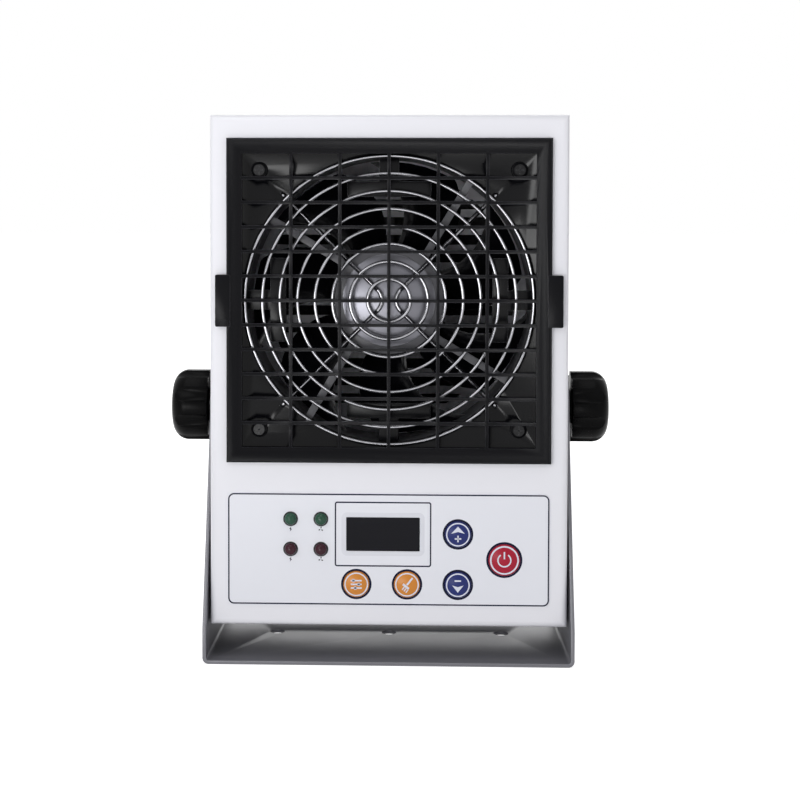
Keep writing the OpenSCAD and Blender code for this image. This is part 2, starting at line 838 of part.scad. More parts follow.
module high_voltage_module() {
    z0 = case_z + case_t;
    color([0.15, 0.15, 0.17]) difference() {
        union() {
            translate([module_x, module_y, z0]) linear_extrude(module_h)
                round_rect(module_w, module_d, 2);
            translate([module_x, module_y, z0]) linear_extrude(2.5)
                round_rect(module_w + 2 * module_ear, 14, 3);
        }
        for (s = [-1, 1])
            translate([module_x + s * (module_w + module_ear) / 2, module_y, z0 - 1])
                cylinder(r = cover_screw_r + screw_gap, h = 6);
    }
}

module module_screws() {
    color("silver") for (s = [-1, 1])
        translate([module_x + s * (module_w + module_ear) / 2, module_y, case_z + case_t])
            rotate_extrude() polygon([[0, -3], [1.5, -3], [1.5, 2.5], [2.9, 2.5],
                                      [2.9, 3.7], [2.3, 4.3], [0, 4.3]]);
}

module control_board() {
    color("darkgreen") difference() {
        along_y(board_y, board_y + board_t) translate([0, panel_z])
            round_rect(board_w, board_h, 1.5);
        translate([0, 0, panel_z]) four_corners(post_x, post_z)
            rod_y(0, 0, 1.6, board_y - 1, board_y + board_t + 1);
    }
}

// Spacer posts between case front and board, with a pin through the board.
module board_posts() {
    color("gray") translate([0, 0, panel_z]) four_corners(post_x, post_z) {
        rod_y(0, 0, post_r, wall_y, board_y);
        rod_y(0, 0, 1.5, wall_y, board_y + board_t + 2);
    }
}

module key_switches() {
    color("dimgray") for (k = key_places()) {
        along_y(board_y - switch_h, board_y) translate([k[0], k[1]])
            square(switch_w, center = true);
        rod_y(k[0], k[1], 1.7, board_y - switch_h - plunger_h, board_y - switch_h + eps);
    }
}

module display_module() {
    color([0.15, 0.15, 0.15]) along_y(board_y - display_d, board_y)
        translate([display_x, display_z]) square([window_w, window_h], center = true);
}

module display_window() {
    color([0.1, 0.1, 0.15, 0.6])
    along_y(film_y + 0.1, board_y - display_d) translate([display_x, display_z])
        square([window_w, window_h], center = true);
}

module keypad_film() {
    color("whitesmoke") difference() {
        along_y(film_y, front_y) translate([0, panel_z]) round_rect(panel_w, panel_h, 2.5);
        control_holes(film_y - 1, front_y + 1);
    }
}

// Two domed lamps of one colour, one above the other in a row pair.
module lamps(z) {
    for (x = lamp_x) turn_y(x, z) difference() {
        union() {
            translate([0, lamp_y]) square([lamp_r, board_y - lamp_y]);
            intersection() {
                translate([0, lamp_y]) circle(lamp_r);
                translate([0, lamp_y - lamp_r]) square([lamp_r, 2 * lamp_r]);
            }
        }
    }
}
module lamps_green() { color("green") lamps(panel_z + lamp_up); }
module lamps_red() { color("darkred") lamps(panel_z + lamp_down); }

// Key plunger: cap, retaining flange behind the case front and stem.
module key(place) {
    x = place[0];
    z = place[1];
    r = place[2];
    stem_end = board_y - switch_h - plunger_h - key_travel - 0.1;
    turn_y(x, z) polygon([[0, key_y], [r - 0.4, key_y], [r, key_y + 0.4], [r, wall_y],
        [r + key_flange, wall_y], [r + key_flange, wall_y + key_flange_t],
        [1.5, wall_y + key_flange_t], [1.5, stem_end], [0, stem_end]]);
}
module key_mode() { color("orange") key(key_places()[0]); }
module key_clean() { color("orange") key(key_places()[1]); }
module key_up() { color("royalblue") key(key_places()[2]); }
module key_down() { color("royalblue") key(key_places()[3]); }
module key_power() { color("crimson") key(key_places()[4]); }

// ---------------------------------------------------------------- rear

module filter_base() {
    color([0.1, 0.1, 0.1]) difference() {
        along_y(back_y, back_y + filter_base_h) translate([0, fan_z]) difference() {
            round_rect(filter_w, filter_w, 5);
            difference() {
                circle(intake_r);
                for (a = [0, 90]) rotate(a) square([2 * intake_r, 3], center = true);
            }
        }
        translate([0, 0, fan_z]) four_corners(fan_screw_xy, fan_screw_xy)
            rod_y(0, 0, cover_screw_r + screw_gap, back_y - 1, back_y + filter_base_h + 1);
    }
}

module filter_screws() {
    color("silver") translate([0, 0, fan_z]) four_corners(fan_screw_xy, fan_screw_xy)
        rear_screw(0, 0, back_y + filter_base_h, cover_screw_r, filter_base_h + rear_screw_in);
}

module filter_foam() {
    y0 = back_y + filter_base_h;
    color("dimgray") along_y(y0, y0 + foam_t) translate([0, fan_z])
        round_rect(foam_w, foam_w, 14);
}

// Snap-on cover: four walls around the base and sloping louvres across the front.
module filter_cover() {
    y1 = back_y + filter_base_h + filter_cover_h;
    outer = filter_w + 2 * (filter_wall + slip_gap);
    inner = filter_w + 2 * slip_gap;
    open = foam_w - 4;
    pitch = louvre_pitch;
    color([0.1, 0.1, 0.1]) translate([0, 0, fan_z]) {
        along_y(back_y + 0.3, y1) difference() {
            round_rect(outer, outer, 6);
            round_rect(inner, inner, 5);
        }
        along_y(y1 - filter_wall, y1) difference() {
            round_rect(outer - 1, outer - 1, 6);
            square(open, center = true);
        }
        for (j = [-6 : 6]) along_x(-open / 2 - 1, open / 2 + 1)
            translate([y1 - filter_wall, j * pitch]) rotate(-30)
                square([1.2, louvre_pitch * 0.62], center = true);
        along_y(y1 - filter_wall, y1) square([3, open + 2], center = true);
    }
}

// Outline of the three inlet blades, drawn about the inlet's middle.
module blade_outlines() {
    for (p = [[-7, -1], [0, 2], [7, -1]]) translate(p) square([2, 4], center = true);
}

// Mains appliance inlet: screw flange and socket body.
module mains_inlet() {
    y_face = back_y + inlet_flange_t;
    color([0.08, 0.08, 0.08]) difference() {
        union() {
            along_y(back_y, y_face) translate([inlet_x, inlet_z])
                round_rect(inlet_flange_w, inlet_flange_h, 4);
            along_y(back_y - inlet_depth, y_face) translate([inlet_x, inlet_z])
                square([inlet_w, inlet_h], center = true);
        }
        along_y(y_face - socket_depth, y_face + 1) translate([inlet_x, inlet_z])
            socket_outline();
        along_y(back_y - inlet_depth - 1, y_face) translate([inlet_x, inlet_z])
            blade_outlines();
        for (s = [-1, 1]) rod_y(inlet_x + s * inlet_pitch / 2, inlet_z,
                                cover_screw_r + screw_gap, back_y - 1, y_face + 1);
    }
}

// Socket mouth with its two cut upper corners.
module socket_outline() {
    w = inlet_w / 2 - inlet_wall;
    h = inlet_h / 2 - inlet_wall;
    cut = 4;
    polygon([[-w, -h], [w, -h], [w, h - cut], [w - cut, h], [-w + cut, h], [-w, h - cut]]);
}

// Live, earth and neutral blades in the socket with solder tails behind.
module inlet_pins() {
    color("gold") along_y(back_y - inlet_depth - pin_tail, back_y + inlet_flange_t - pin_sunk)
        translate([inlet_x, inlet_z]) blade_outlines();
}

module inlet_screws() {
    color("silver") for (s = [-1, 1])
        rear_screw(inlet_x + s * inlet_pitch / 2, inlet_z, back_y + inlet_flange_t,
                   cover_screw_r, inlet_flange_t + rear_screw_in);
}

// Earth stud with washer and knurled nut on the rear cover.
module earth_terminal() {
    color("gold") turn_y(earth_x, inlet_z)
        polygon([[0, cover_y - 4], [5, cover_y - 4], [5, cover_y], [earth_r, cover_y],
                 [earth_r, back_y], [5.5, back_y], [5.5, back_y + 1], [4.5, back_y + 1.3],
                 [4.5, back_y + 6.5], [4, back_y + 7], [earth_r, back_y + 7],
                 [earth_r, back_y + 10], [0, back_y + 10]]);
}

bracket();
housing_shell();
rear_cover();
cover_screws();
tilt_washer_left();
tilt_washer_right();
tilt_nut_left();
tilt_nut_right();
knob_left();
knob_right();
stud_left();
stud_right();
front_grille();
fan_tray();
wire_guard();
fan_frame();
fan_stator();
fan_rotor();
motor_cap();
fan_screws();
fan_nuts();
emitter_top();
emitter_right();
emitter_bottom();
emitter_left();
emitter_needles();
high_voltage_module();
module_screws();
control_board();
board_posts();
key_switches();
display_module();
display_window();
keypad_film();
lamps_green();
lamps_red();
key_mode();
key_clean();
key_up();
key_down();
key_power();
filter_base();
filter_screws();
filter_foam();
filter_cover();
mains_inlet();
inlet_pins();
inlet_screws();
earth_terminal();
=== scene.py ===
"""Looks of a desktop ionizing air blower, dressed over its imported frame.

Each sub-assembly is a class that takes its places from the frame's own boxes, builds
its visible meshes in metres and gives every node its finish.
"""

import json
import logging
import math
from dataclasses import dataclass, field
from enum import Enum

import bmesh
import bpy
from mathutils import Matrix, Vector

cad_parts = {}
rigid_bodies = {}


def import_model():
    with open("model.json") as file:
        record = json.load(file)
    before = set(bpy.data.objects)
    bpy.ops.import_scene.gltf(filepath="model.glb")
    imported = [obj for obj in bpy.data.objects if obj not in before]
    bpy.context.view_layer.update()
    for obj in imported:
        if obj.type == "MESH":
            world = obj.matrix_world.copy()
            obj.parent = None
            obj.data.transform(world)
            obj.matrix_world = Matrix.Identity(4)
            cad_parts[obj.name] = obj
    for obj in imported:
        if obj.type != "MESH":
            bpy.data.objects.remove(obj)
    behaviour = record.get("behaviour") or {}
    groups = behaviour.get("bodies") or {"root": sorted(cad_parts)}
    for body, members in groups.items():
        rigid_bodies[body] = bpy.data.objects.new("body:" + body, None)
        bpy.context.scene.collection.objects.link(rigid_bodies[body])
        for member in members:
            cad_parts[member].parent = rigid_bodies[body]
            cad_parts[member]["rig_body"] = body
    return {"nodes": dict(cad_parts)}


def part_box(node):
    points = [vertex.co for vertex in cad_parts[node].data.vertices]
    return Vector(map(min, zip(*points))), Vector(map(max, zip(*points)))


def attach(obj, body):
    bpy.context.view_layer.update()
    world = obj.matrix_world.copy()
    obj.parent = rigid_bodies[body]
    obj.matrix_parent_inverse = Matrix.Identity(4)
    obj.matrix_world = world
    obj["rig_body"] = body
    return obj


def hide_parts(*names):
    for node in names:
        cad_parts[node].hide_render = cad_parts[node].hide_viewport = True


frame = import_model()

MM = 0.001
SINK = 0.01 * MM  # how far printed lines reach into the face that they lie on
LOG = logging.getLogger("blower")
Rgb = tuple[float, float, float]
Flat = tuple[float, float]
Place = tuple[float, float, float]


# ------------------------------------------------------------------ shader groups


class SocketKind(Enum):
    """Kinds of group sockets used by the shared effects."""

    VALUE = "NodeSocketFloat"
    COLOUR = "NodeSocketColor"


@dataclass
class EffectGroup:
    """A shader node group that several finishes share.

    Attributes:
        name: Name of the node group.
        inputs: Name, kind and starting value of each input.
        outputs: Name and kind of each output.
    """

    name: str
    inputs: list[tuple[str, SocketKind, float | Rgb]]
    outputs: list[tuple[str, SocketKind]]
    tree: bpy.types.NodeTree | None = None

    def start(self) -> tuple[bpy.types.Node, bpy.types.Node]:
        """Makes the group with its sockets.

        Returns:
            The group's input node and output node.
        """
        self.tree = bpy.data.node_groups.new(self.name, "ShaderNodeTree")
        for name, kind, value in self.inputs:
            socket = self.tree.interface.new_socket(name, in_out="INPUT", socket_type=kind.value)
            socket.default_value = (*value, 1.0) if kind is SocketKind.COLOUR else value
        for name, kind in self.outputs:
            self.tree.interface.new_socket(name, in_out="OUTPUT", socket_type=kind.value)
        return self.tree.nodes.new("NodeGroupInput"), self.tree.nodes.new("NodeGroupOutput")

    def node(self, kind: str, **settings: object) -> bpy.types.Node:
        """Adds a node to the group and sets its properties.

        Args:
            kind: Node type name.
            **settings: Properties to set on the node.

        Returns:
            The new node.
        """
        made = self.tree.nodes.new(kind)
        for key, value in settings.items():
            setattr(made, key, value)
        return made

    def link(self, start: bpy.types.NodeSocket, end: bpy.types.NodeSocket) -> None:
        """Links two sockets of the group."""
        self.tree.links.new(start, end)

    def math(self, operation: str, first: object, second: object) -> bpy.types.NodeSocket:
        """Adds a math node.

        Args:
            operation: Math operation name.
            first: Socket or number for the first value.
            second: Socket or number for the second value.

        Returns:
            The result socket.
        """
        made = self.node("ShaderNodeMath", operation=operation)
        for place, value in zip(made.inputs, (first, second)):
            if isinstance(value, (int, float)):
                place.default_value = value
            else:
                self.link(value, place)
        return made.outputs[0]


class Effects:
    """The shared effects, each built once."""

    wide_share = 0.15  # frequency of the wider grain against the fine grain
    edge_gain = 6.0  # how fast the wear and painted edge highlight grow as an edge turns
    patch_scale = 160.0  # frequency per metre of the patches that break the wear and painted edge highlight up

    def __init__(self) -> None:
        """Builds the tone, grain, edge wear with painted highlight, and brush groups."""
        self.tone = self._tone()
        self.grain = self._grain()
        self.wear_and_highlight = self._wear_and_highlight()
        self.brush = self._brush()
        self.made: dict[str, bpy.types.Material] = {}

    def _tone(self) -> bpy.types.NodeTree:
        """Cloudy variation of a colour and its roughness.

        Returns:
            The finished node group.
        """
        group = EffectGroup(
            "tone_variation",
            [("Colour", SocketKind.COLOUR, (0.5, 0.5, 0.5)), ("Roughness", SocketKind.VALUE, 0.5),
             ("Scale", SocketKind.VALUE, 30.0), ("Colour Spread", SocketKind.VALUE, 0.05),
             ("Roughness Spread", SocketKind.VALUE, 0.1)],
            [("Colour", SocketKind.COLOUR), ("Roughness", SocketKind.VALUE)])
        start, end = group.start()
        coords = group.node("ShaderNodeTexCoord")
        cloud = group.node("ShaderNodeTexNoise")
        cloud.inputs["Detail"].default_value = 6.0
        group.link(coords.outputs["Object"], cloud.inputs["Vector"])
        group.link(start.outputs["Scale"], cloud.inputs["Scale"])
        middle = group.math("SUBTRACT", cloud.outputs["Fac"], 0.5)
        value = group.math("ADD", group.math("MULTIPLY", middle, start.outputs["Colour Spread"]), 1.0)
        shade = group.node("ShaderNodeHueSaturation")
        group.link(start.outputs["Colour"], shade.inputs["Color"])
        group.link(value, shade.inputs["Value"])
        rough = group.math("ADD", start.outputs["Roughness"],
                           group.math("MULTIPLY", middle, start.outputs["Roughness Spread"]))
        group.link(shade.outputs["Color"], end.inputs["Colour"])
        group.link(rough, end.inputs["Roughness"])
        return group.tree

    def _grain(self) -> bpy.types.NodeTree:
        """Fine moulded or sprayed grain as a height.

        Returns:
            The finished node group.
        """
        group = EffectGroup(
            "fine_grain",
            [("Scale", SocketKind.VALUE, 2000.0), ("Coarse", SocketKind.VALUE, 0.3)],
            [("Height", SocketKind.VALUE)])
        start, end = group.start()
        coords = group.node("ShaderNodeTexCoord")
        fine = group.node("ShaderNodeTexNoise")
        fine.inputs["Detail"].default_value = 4.0
        wide = group.node("ShaderNodeTexNoise")
        group.link(coords.outputs["Object"], fine.inputs["Vector"])
        group.link(coords.outputs["Object"], wide.inputs["Vector"])
        group.link(start.outputs["Scale"], fine.inputs["Scale"])
        group.link(group.math("MULTIPLY", start.outputs["Scale"], self.wide_share), wide.inputs["Scale"])
        height = group.math("ADD", fine.outputs["Fac"],
                            group.math("MULTIPLY", wide.outputs["Fac"], start.outputs["Coarse"]))
        group.link(height, end.inputs["Height"])
        return group.tree

    def _wear_and_highlight(self) -> bpy.types.NodeTree:
        """Mask of the outer edges, for rubbed wear and for a painted edge highlight, broken up by noise.

        Returns:
            The finished node group.
        """
        group = EffectGroup(
            "edge_wear_and_highlight",
            [("Radius", SocketKind.VALUE, 0.0004), ("Amount", SocketKind.VALUE, 0.5)],
            [("Mask", SocketKind.VALUE)])
        start, end = group.start()
        rounded = group.node("ShaderNodeBevel", samples=4)
        group.link(start.outputs["Radius"], rounded.inputs["Radius"])
        flat = group.node("ShaderNodeNewGeometry")
        dot = group.node("ShaderNodeVectorMath", operation="DOT_PRODUCT")
        group.link(rounded.outputs["Normal"], dot.inputs[0])
        group.link(flat.outputs["Normal"], dot.inputs[1])
        turned = group.math("SUBTRACT", 1.0, dot.outputs["Value"])
        coords = group.node("ShaderNodeTexCoord")
        patch = group.node("ShaderNodeTexNoise")
        patch.inputs["Scale"].default_value = self.patch_scale
        patch.inputs["Detail"].default_value = 5.0
        group.link(coords.outputs["Object"], patch.inputs["Vector"])
        grown = group.math("MULTIPLY", turned, self.edge_gain)
        strength = group.math("MULTIPLY", grown, patch.outputs["Fac"])
        scaled = group.node("ShaderNodeMath", operation="MULTIPLY", use_clamp=True)
        group.link(strength, scaled.inputs[0])
        group.link(start.outputs["Amount"], scaled.inputs[1])
        group.link(scaled.outputs[0], end.inputs["Mask"])
        return group.tree

    def _brush(self) -> bpy.types.NodeTree:
        """Fine turned lines about an axis along Y, as a height.

        Returns:
            The finished node group.
        """
        group = EffectGroup(
            "turned_lines",
            [("Centre X", SocketKind.VALUE, 0.0), ("Centre Z", SocketKind.VALUE, 0.0),
             ("Scale", SocketKind.VALUE, 3000.0)],
            [("Height", SocketKind.VALUE)])
        start, end = group.start()
        coords = group.node("ShaderNodeTexCoord")
        split = group.node("ShaderNodeSeparateXYZ")
        group.link(coords.outputs["Object"], split.inputs[0])
        across = group.math("SUBTRACT", split.outputs["X"], start.outputs["Centre X"])
        up = group.math("SUBTRACT", split.outputs["Z"], start.outputs["Centre Z"])
        far = group.math("SQRT", group.math("ADD", group.math("MULTIPLY", across, across),
                                            group.math("MULTIPLY", up, up)), 0.0)
        lines = group.node("ShaderNodeTexNoise", noise_dimensions="1D")
        lines.inputs["Detail"].default_value = 3.0
        group.link(far, lines.inputs["W"])
        group.link(start.outputs["Scale"], lines.inputs["Scale"])
        group.link(lines.outputs["Fac"], end.inputs["Height"])
        return group.tree


# ------------------------------------------------------------------ finishes


@dataclass(frozen=True)
class Finish:
    """A surface finish with its own variation, grain and lightened edges of wear and painted highlight.

    Attributes:
        name: Name of the material.
        colour: Linear base colour.
        roughness: Mean roughness.
        metallic: 0 for paint and plastic, 1 for bare metal.
        spread: Share by which the colour varies.
        rough_spread: Amount by which the roughness varies.
        tone_scale: Frequency of the variation per metre.
        grain_scale: Frequency of the grain per metre.
        grain_depth: Depth of the grain in metres.
        coarse: Share of the wider grain.
        wear_and_highlight: Strength of the worn edges and of the painted edge highlight.
        wear_and_highlight_radius: Width of the edge band of wear and painted highlight in metres.
        wear_and_highlight_colour: Linear colour of that edge band, for wear and painted highlight.
        coat: Weight of a clear coat.
        specular: Specular level.
        turned: Centre of turned lines as X and Z in metres, if the piece has them.
    """

    name: str
    colour: Rgb
    roughness: float
    metallic: float = 0.0
    spread: float = 0.06
    rough_spread: float = 0.12
    tone_scale: float = 35.0
    grain_scale: float = 2200.0
    grain_depth: float = 0.00001
    coarse: float = 0.4
    wear_and_highlight: float = 0.3
    wear_and_highlight_radius: float = 0.4 * MM
    wear_and_highlight_colour: Rgb = (0.6, 0.6, 0.62)
    coat: float = 0.0
    specular: float = 0.5
    turned: Flat | None = None

    def material(self, effects: Effects) -> bpy.types.Material:
        """Builds the node material, or returns it if it is already there.

        Args:
            effects: The shared effect groups.

        Returns:
            The finished material.
        """
        if self.name in effects.made:
            return effects.made[self.name]
        made = bpy.data.materials.new(self.name)
        effects.made[self.name] = made
        made.use_nodes = True
        tree = made.node_tree
        shader = tree.nodes["Principled BSDF"]
        tone = self._group(tree, effects.tone, {
            "Colour": (*self.colour, 1.0), "Roughness": self.roughness, "Scale": self.tone_scale,
            "Colour Spread": self.spread, "Roughness Spread": self.rough_spread})
        # Edges drift to the edge colour: rubbed wear, and a painted highlight where light would catch
        # the edge.
        wear_and_highlight = self._group(tree, effects.wear_and_highlight, {"Radius": self.wear_and_highlight_radius, "Amount": self.wear_and_highlight})
        mix = tree.nodes.new("ShaderNodeMix")
        mix.data_type = "RGBA"
        mix.inputs["B"].default_value = (*self.wear_and_highlight_colour, 1.0)
        tree.links.new(wear_and_highlight.outputs["Mask"], mix.inputs["Factor"])
        tree.links.new(tone.outputs["Colour"], mix.inputs["A"])
        tree.links.new(mix.outputs["Result"], shader.inputs["Base Color"])
        tree.links.new(tone.outputs["Roughness"], shader.inputs["Roughness"])
        shader.inputs["Metallic"].default_value = self.metallic
        shader.inputs["Coat Weight"].default_value = self.coat
        shader.inputs["Specular IOR Level"].default_value = self.specular
        bump = tree.nodes.new("ShaderNodeBump")
        bump.inputs["Distance"].default_value = self.grain_depth
        tree.links.new(self._height(tree, effects), bump.inputs["Height"])
        tree.links.new(bump.outputs["Normal"], shader.inputs["Normal"])
        made.diffuse_color = (*self.colour, 1.0)
        return made

    def _height(self, tree: bpy.types.NodeTree, effects: Effects) -> bpy.types.NodeSocket:
        """Gives the height that the bump reads.

        Args:
            tree: Node tree of the material.
            effects: The shared effect groups.

        Returns:
            The socket with the height.
        """
        if self.turned is None:
            return self._group(tree, effects.grain, {
                "Scale": self.grain_scale, "Coarse": self.coarse}).outputs["Height"]
        return self._group(tree, effects.brush, {
            "Centre X": self.turned[0], "Centre Z": self.turned[1],
            "Scale": self.grain_scale}).outputs["Height"]

    @staticmethod
    def _group(tree: bpy.types.NodeTree, group: bpy.types.NodeTree,
               values: dict[str, object]) -> bpy.types.Node:
        """Places a shared group in a material.

        Args:
            tree: Node tree of the material.
            group: The shared node group.
            values: Input values by socket name.

        Returns:
            The group node.
        """
        made = tree.nodes.new("ShaderNodeGroup")
        made.node_tree = group
        for key, value in values.items():
            made.inputs[key].default_value = value
        return made


class Finishes:
    """Every finish of the blower, by what it is on."""

    case = Finish("case_powder_coat", (0.79, 0.79, 0.84), 0.42, spread=0.02, grain_scale=900.0,
                  grain_depth=0.000006, wear_and_highlight=0.08, wear_and_highlight_colour=(0.9, 0.9, 0.92), tone_scale=12.0)
    bracket = Finish("bracket_satin", (0.16, 0.16, 0.178), 0.38, spread=0.07, grain_scale=1500.0,
                     grain_depth=0.000008, wear_and_highlight=0.5, wear_and_highlight_colour=(0.5, 0.5, 0.52), metallic=0.25)
    zinc = Finish("zinc_plate", (0.62, 0.62, 0.63), 0.3, metallic=1.0, spread=0.12, wear_and_highlight=0.2)
    # Black oxide of the black screws; the same dark finish paints the shade in the screw recesses and
    # colours the lamp rims.
    dark_screw_and_shade = Finish("black_oxide_and_shade", (0.006, 0.006, 0.007), 0.3, specular=0.2, wear_and_highlight=0.5,
                        wear_and_highlight_colour=(0.1, 0.1, 0.11))
    rubber = Finish("washer_rubber", (0.03, 0.03, 0.03), 0.75, grain_depth=0.00003, wear_and_highlight=0.05)
    knob = Finish("knob_gloss", (0.0015, 0.0015, 0.0017), 0.27, spread=0.2, rough_spread=0.08,
                  grain_depth=0.000003, wear_and_highlight=0.1, wear_and_highlight_colour=(0.03, 0.03, 0.03), specular=0.05)
    grille = Finish("grille_plastic", (0.0018, 0.0018, 0.003), 0.3, specular=0.1, spread=0.25,
                    grain_scale=1700.0, grain_depth=0.00003, coarse=0.8, wear_and_highlight=0.5,
                    wear_and_highlight_colour=(0.12, 0.12, 0.135))
    tray = Finish("tray_plastic", (0.0015, 0.0015, 0.0025), 0.17, specular=0.17, spread=0.25,
                  grain_scale=1200.0, grain_depth=0.00001, wear_and_highlight=0.3, wear_and_highlight_colour=(0.12, 0.12, 0.13))
    fan = Finish("fan_plastic", (0.11, 0.11, 0.12), 0.34, specular=0.2, spread=0.2, grain_scale=1600.0,
                 grain_depth=0.000012, wear_and_highlight=0.4, wear_and_highlight_colour=(0.16, 0.16, 0.17))
    rotor = Finish("rotor_plastic", (0.003, 0.003, 0.004), 0.22, specular=0.12, spread=0.2, wear_and_highlight=0.3,
                   grain_depth=0.000005, wear_and_highlight_colour=(0.1, 0.1, 0.1))
    wire = Finish("guard_chrome", (0.3, 0.3, 0.32), 0.13, metallic=1.0, spread=0.05,
                  rough_spread=0.06, grain_depth=0.000003, wear_and_highlight=0.0)
    cap = Finish("motor_cap_metal", (0.16, 0.16, 0.18), 0.3, metallic=0.85, spread=0.12,
                 grain_scale=2600.0, grain_depth=0.00002, wear_and_highlight=0.3, turned=(0.0, 0.146))
    # The strong pale edges of the emitter blocks are a painted highlight where light catches the block's
    # edges.
    emitter = Finish("emitter_plastic", (0.003, 0.003, 0.004), 0.24, specular=0.15, spread=0.2, wear_and_highlight=0.7,
                     wear_and_highlight_colour=(0.25, 0.25, 0.27))
    winding = Finish("varnished_copper", (0.4, 0.16, 0.06), 0.35, metallic=0.8, grain_scale=3000.0,
                     grain_depth=0.00005)
    film = Finish("keypad_film", (0.76, 0.77, 0.83), 0.33, spread=0.015, grain_scale=2600.0,
                  grain_depth=0.000003, wear_and_highlight=0.0, tone_scale=18.0)
    bezel = Finish("bezel_print", (0.68, 0.69, 0.75), 0.36, spread=0.08, tone_scale=60.0, wear_and_highlight=0.0,
                   grain_depth=0.000003)
    ink = Finish("navy_ink", (0.006, 0.007, 0.028), 0.4, spread=0.2, wear_and_highlight=0.0, specular=0.1,
                 grain_depth=0.000002)
    pale_ink = Finish("pale_ink", (0.66, 0.68, 0.78), 0.4, spread=0.06, wear_and_highlight=0.0,
                      grain_depth=0.000002)
    window = Finish("smoked_window", (0.004, 0.004, 0.007), 0.12, spread=0.2, rough_spread=0.05,
                    grain_depth=0.000001, wear_and_highlight=0.0, specular=0.12)
    orange = Finish("orange_key", (0.6, 0.21, 0.014), 0.35, spread=0.1, wear_and_highlight=0.1,
                    wear_and_highlight_colour=(0.9, 0.5, 0.2), grain_depth=0.000004)
    blue = Finish("blue_key", (0.012, 0.022, 0.14), 0.33, specular=0.25, spread=0.12, wear_and_highlight=0.1,
                  wear_and_highlight_colour=(0.1, 0.16, 0.5), grain_depth=0.000004)
    red = Finish("red_key", (0.36, 0.006, 0.028), 0.33, specular=0.25, spread=0.12, wear_and_highlight=0.1,
                 wear_and_highlight_colour=(0.7, 0.1, 0.14), grain_depth=0.000004)
    green_lamp = Finish("green_lens", (0.006, 0.06, 0.03), 0.16, spread=0.3, wear_and_highlight=0.0, coat=0.1,
                        specular=0.3, grain_depth=0.000002, tone_scale=400.0)
    red_lamp = Finish("dark_red_lens", (0.035, 0.002, 0.01), 0.16, spread=0.3, wear_and_highlight=0.0, coat=0.1,
                      specular=0.2, grain_depth=0.000002, tone_scale=400.0)
    board = Finish("board_mask", (0.01, 0.08, 0.03), 0.35, spread=0.2)
    potting = Finish("potted_block", (0.02, 0.02, 0.024), 0.5, spread=0.2)
    foam = Finish("open_foam", (0.02, 0.02, 0.021), 0.95, spread=0.5, grain_scale=900.0,
                  grain_depth=0.0006, coarse=0.9, wear_and_highlight=0.0, tone_scale=900.0)
    rear = Finish("rear_plastic", (0.02, 0.02, 0.022), 0.45, spread=0.2, grain_scale=1700.0,
                  grain_depth=0.00003, coarse=0.8, wear_and_highlight=0.35, wear_and_highlight_colour=(0.12, 0.12, 0.13))
    brass = Finish("nickel_brass", (0.66, 0.52, 0.27), 0.28, metallic=1.0, spread=0.1)


# ------------------------------------------------------------------ shared making


@dataclass
class Maker:
    """Makes pieces: gives them their finish, smooth shading and body.

    Attributes:
        effects: The shared effect groups.
        weld: Distance in metres within which points are merged.
        flat_angle: Angle in degrees below which two faces count as one.
        broken_angle: Angle in degrees past which an edge is broken.
    """

    effects: Effects
    weld: float = 2e-6
    flat_angle: float = 0.4
    broken_angle: float = 50.0

    def finish_node(self, node: str, finish: Finish) -> None:
        """Puts a finish on a frame node that stays in view.

        Args:
            node: Name of the frame node.
            finish: The finish to give it.
        """
        piece = frame["nodes"][node]
        piece.data.materials.clear()
        piece.data.materials.append(finish.material(self.effects))
        LOG.info("finished %s in %s", node, finish.name)

    def piece(self, name: str, mesh: bmesh.types.BMesh, finish: Finish, body: str, slot: str,
              sharp: float = 32.0) -> bpy.types.Object:
        """Turns a finished bmesh into a piece that rides on a body.

        Args:
            name: Name of the piece.
            mesh: The finished bmesh, in place, in metres. It is freed.
            finish: The finish to give it.
            body: Body that carries it.
            slot: The record's material slot; not used.
            sharp: Angle in degrees past which an edge stays sharp.

        Returns:
            The new object.
        """
        data = bpy.data.meshes.new(name)
        mesh.to_mesh(data)
        mesh.free()
        data.polygons.foreach_set("use_smooth", [True] * len(data.polygons))
        data.set_sharp_from_angle(angle=math.radians(sharp))
        data.materials.append(finish.material(self.effects))
        made = bpy.data.objects.new(name, data)
        bpy.context.scene.collection.objects.link(made)
        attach(made, body)
        LOG.info("made %s on %s in %s", name, body, finish.name)
        return made

    def softened(self, node: str, name: str, finish: Finish, slot: str, bevel: float = 0.0,
                 sharp: float = 32.0) -> bpy.types.Object:
        """Stands a merged and smoothed copy in for a frame node.

        Args:
            node: Name of the frame node.
            name: Name of the new piece.
            finish: The finish to give it.
            slot: The record's material slot.
            bevel: Width of the broken edges in metres, or 0 for none.
            sharp: Angle in degrees past which an edge stays sharp.

        Returns:
            The new object.
        """
        source = frame["nodes"][node]
        mesh = bmesh.new()
        mesh.from_mesh(source.data)
        bmesh.ops.remove_doubles(mesh, verts=mesh.verts, dist=self.weld)
        bmesh.ops.dissolve_limit(mesh, angle_limit=math.radians(self.flat_angle),
                                 verts=mesh.verts, edges=mesh.edges)
        if bevel > 0.0:
            limit = math.radians(self.broken_angle)
            edges = [e for e in mesh.edges if e.is_manifold and e.calc_face_angle(0.0) > limit]
            bmesh.ops.bevel(mesh, geom=edges, offset=bevel, segments=2, profile=0.5,
                            affect="EDGES", material=-1, clamp_overlap=True)
        made = self.piece(name, mesh, finish, source["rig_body"], slot, sharp)
        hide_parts(node)
        return made


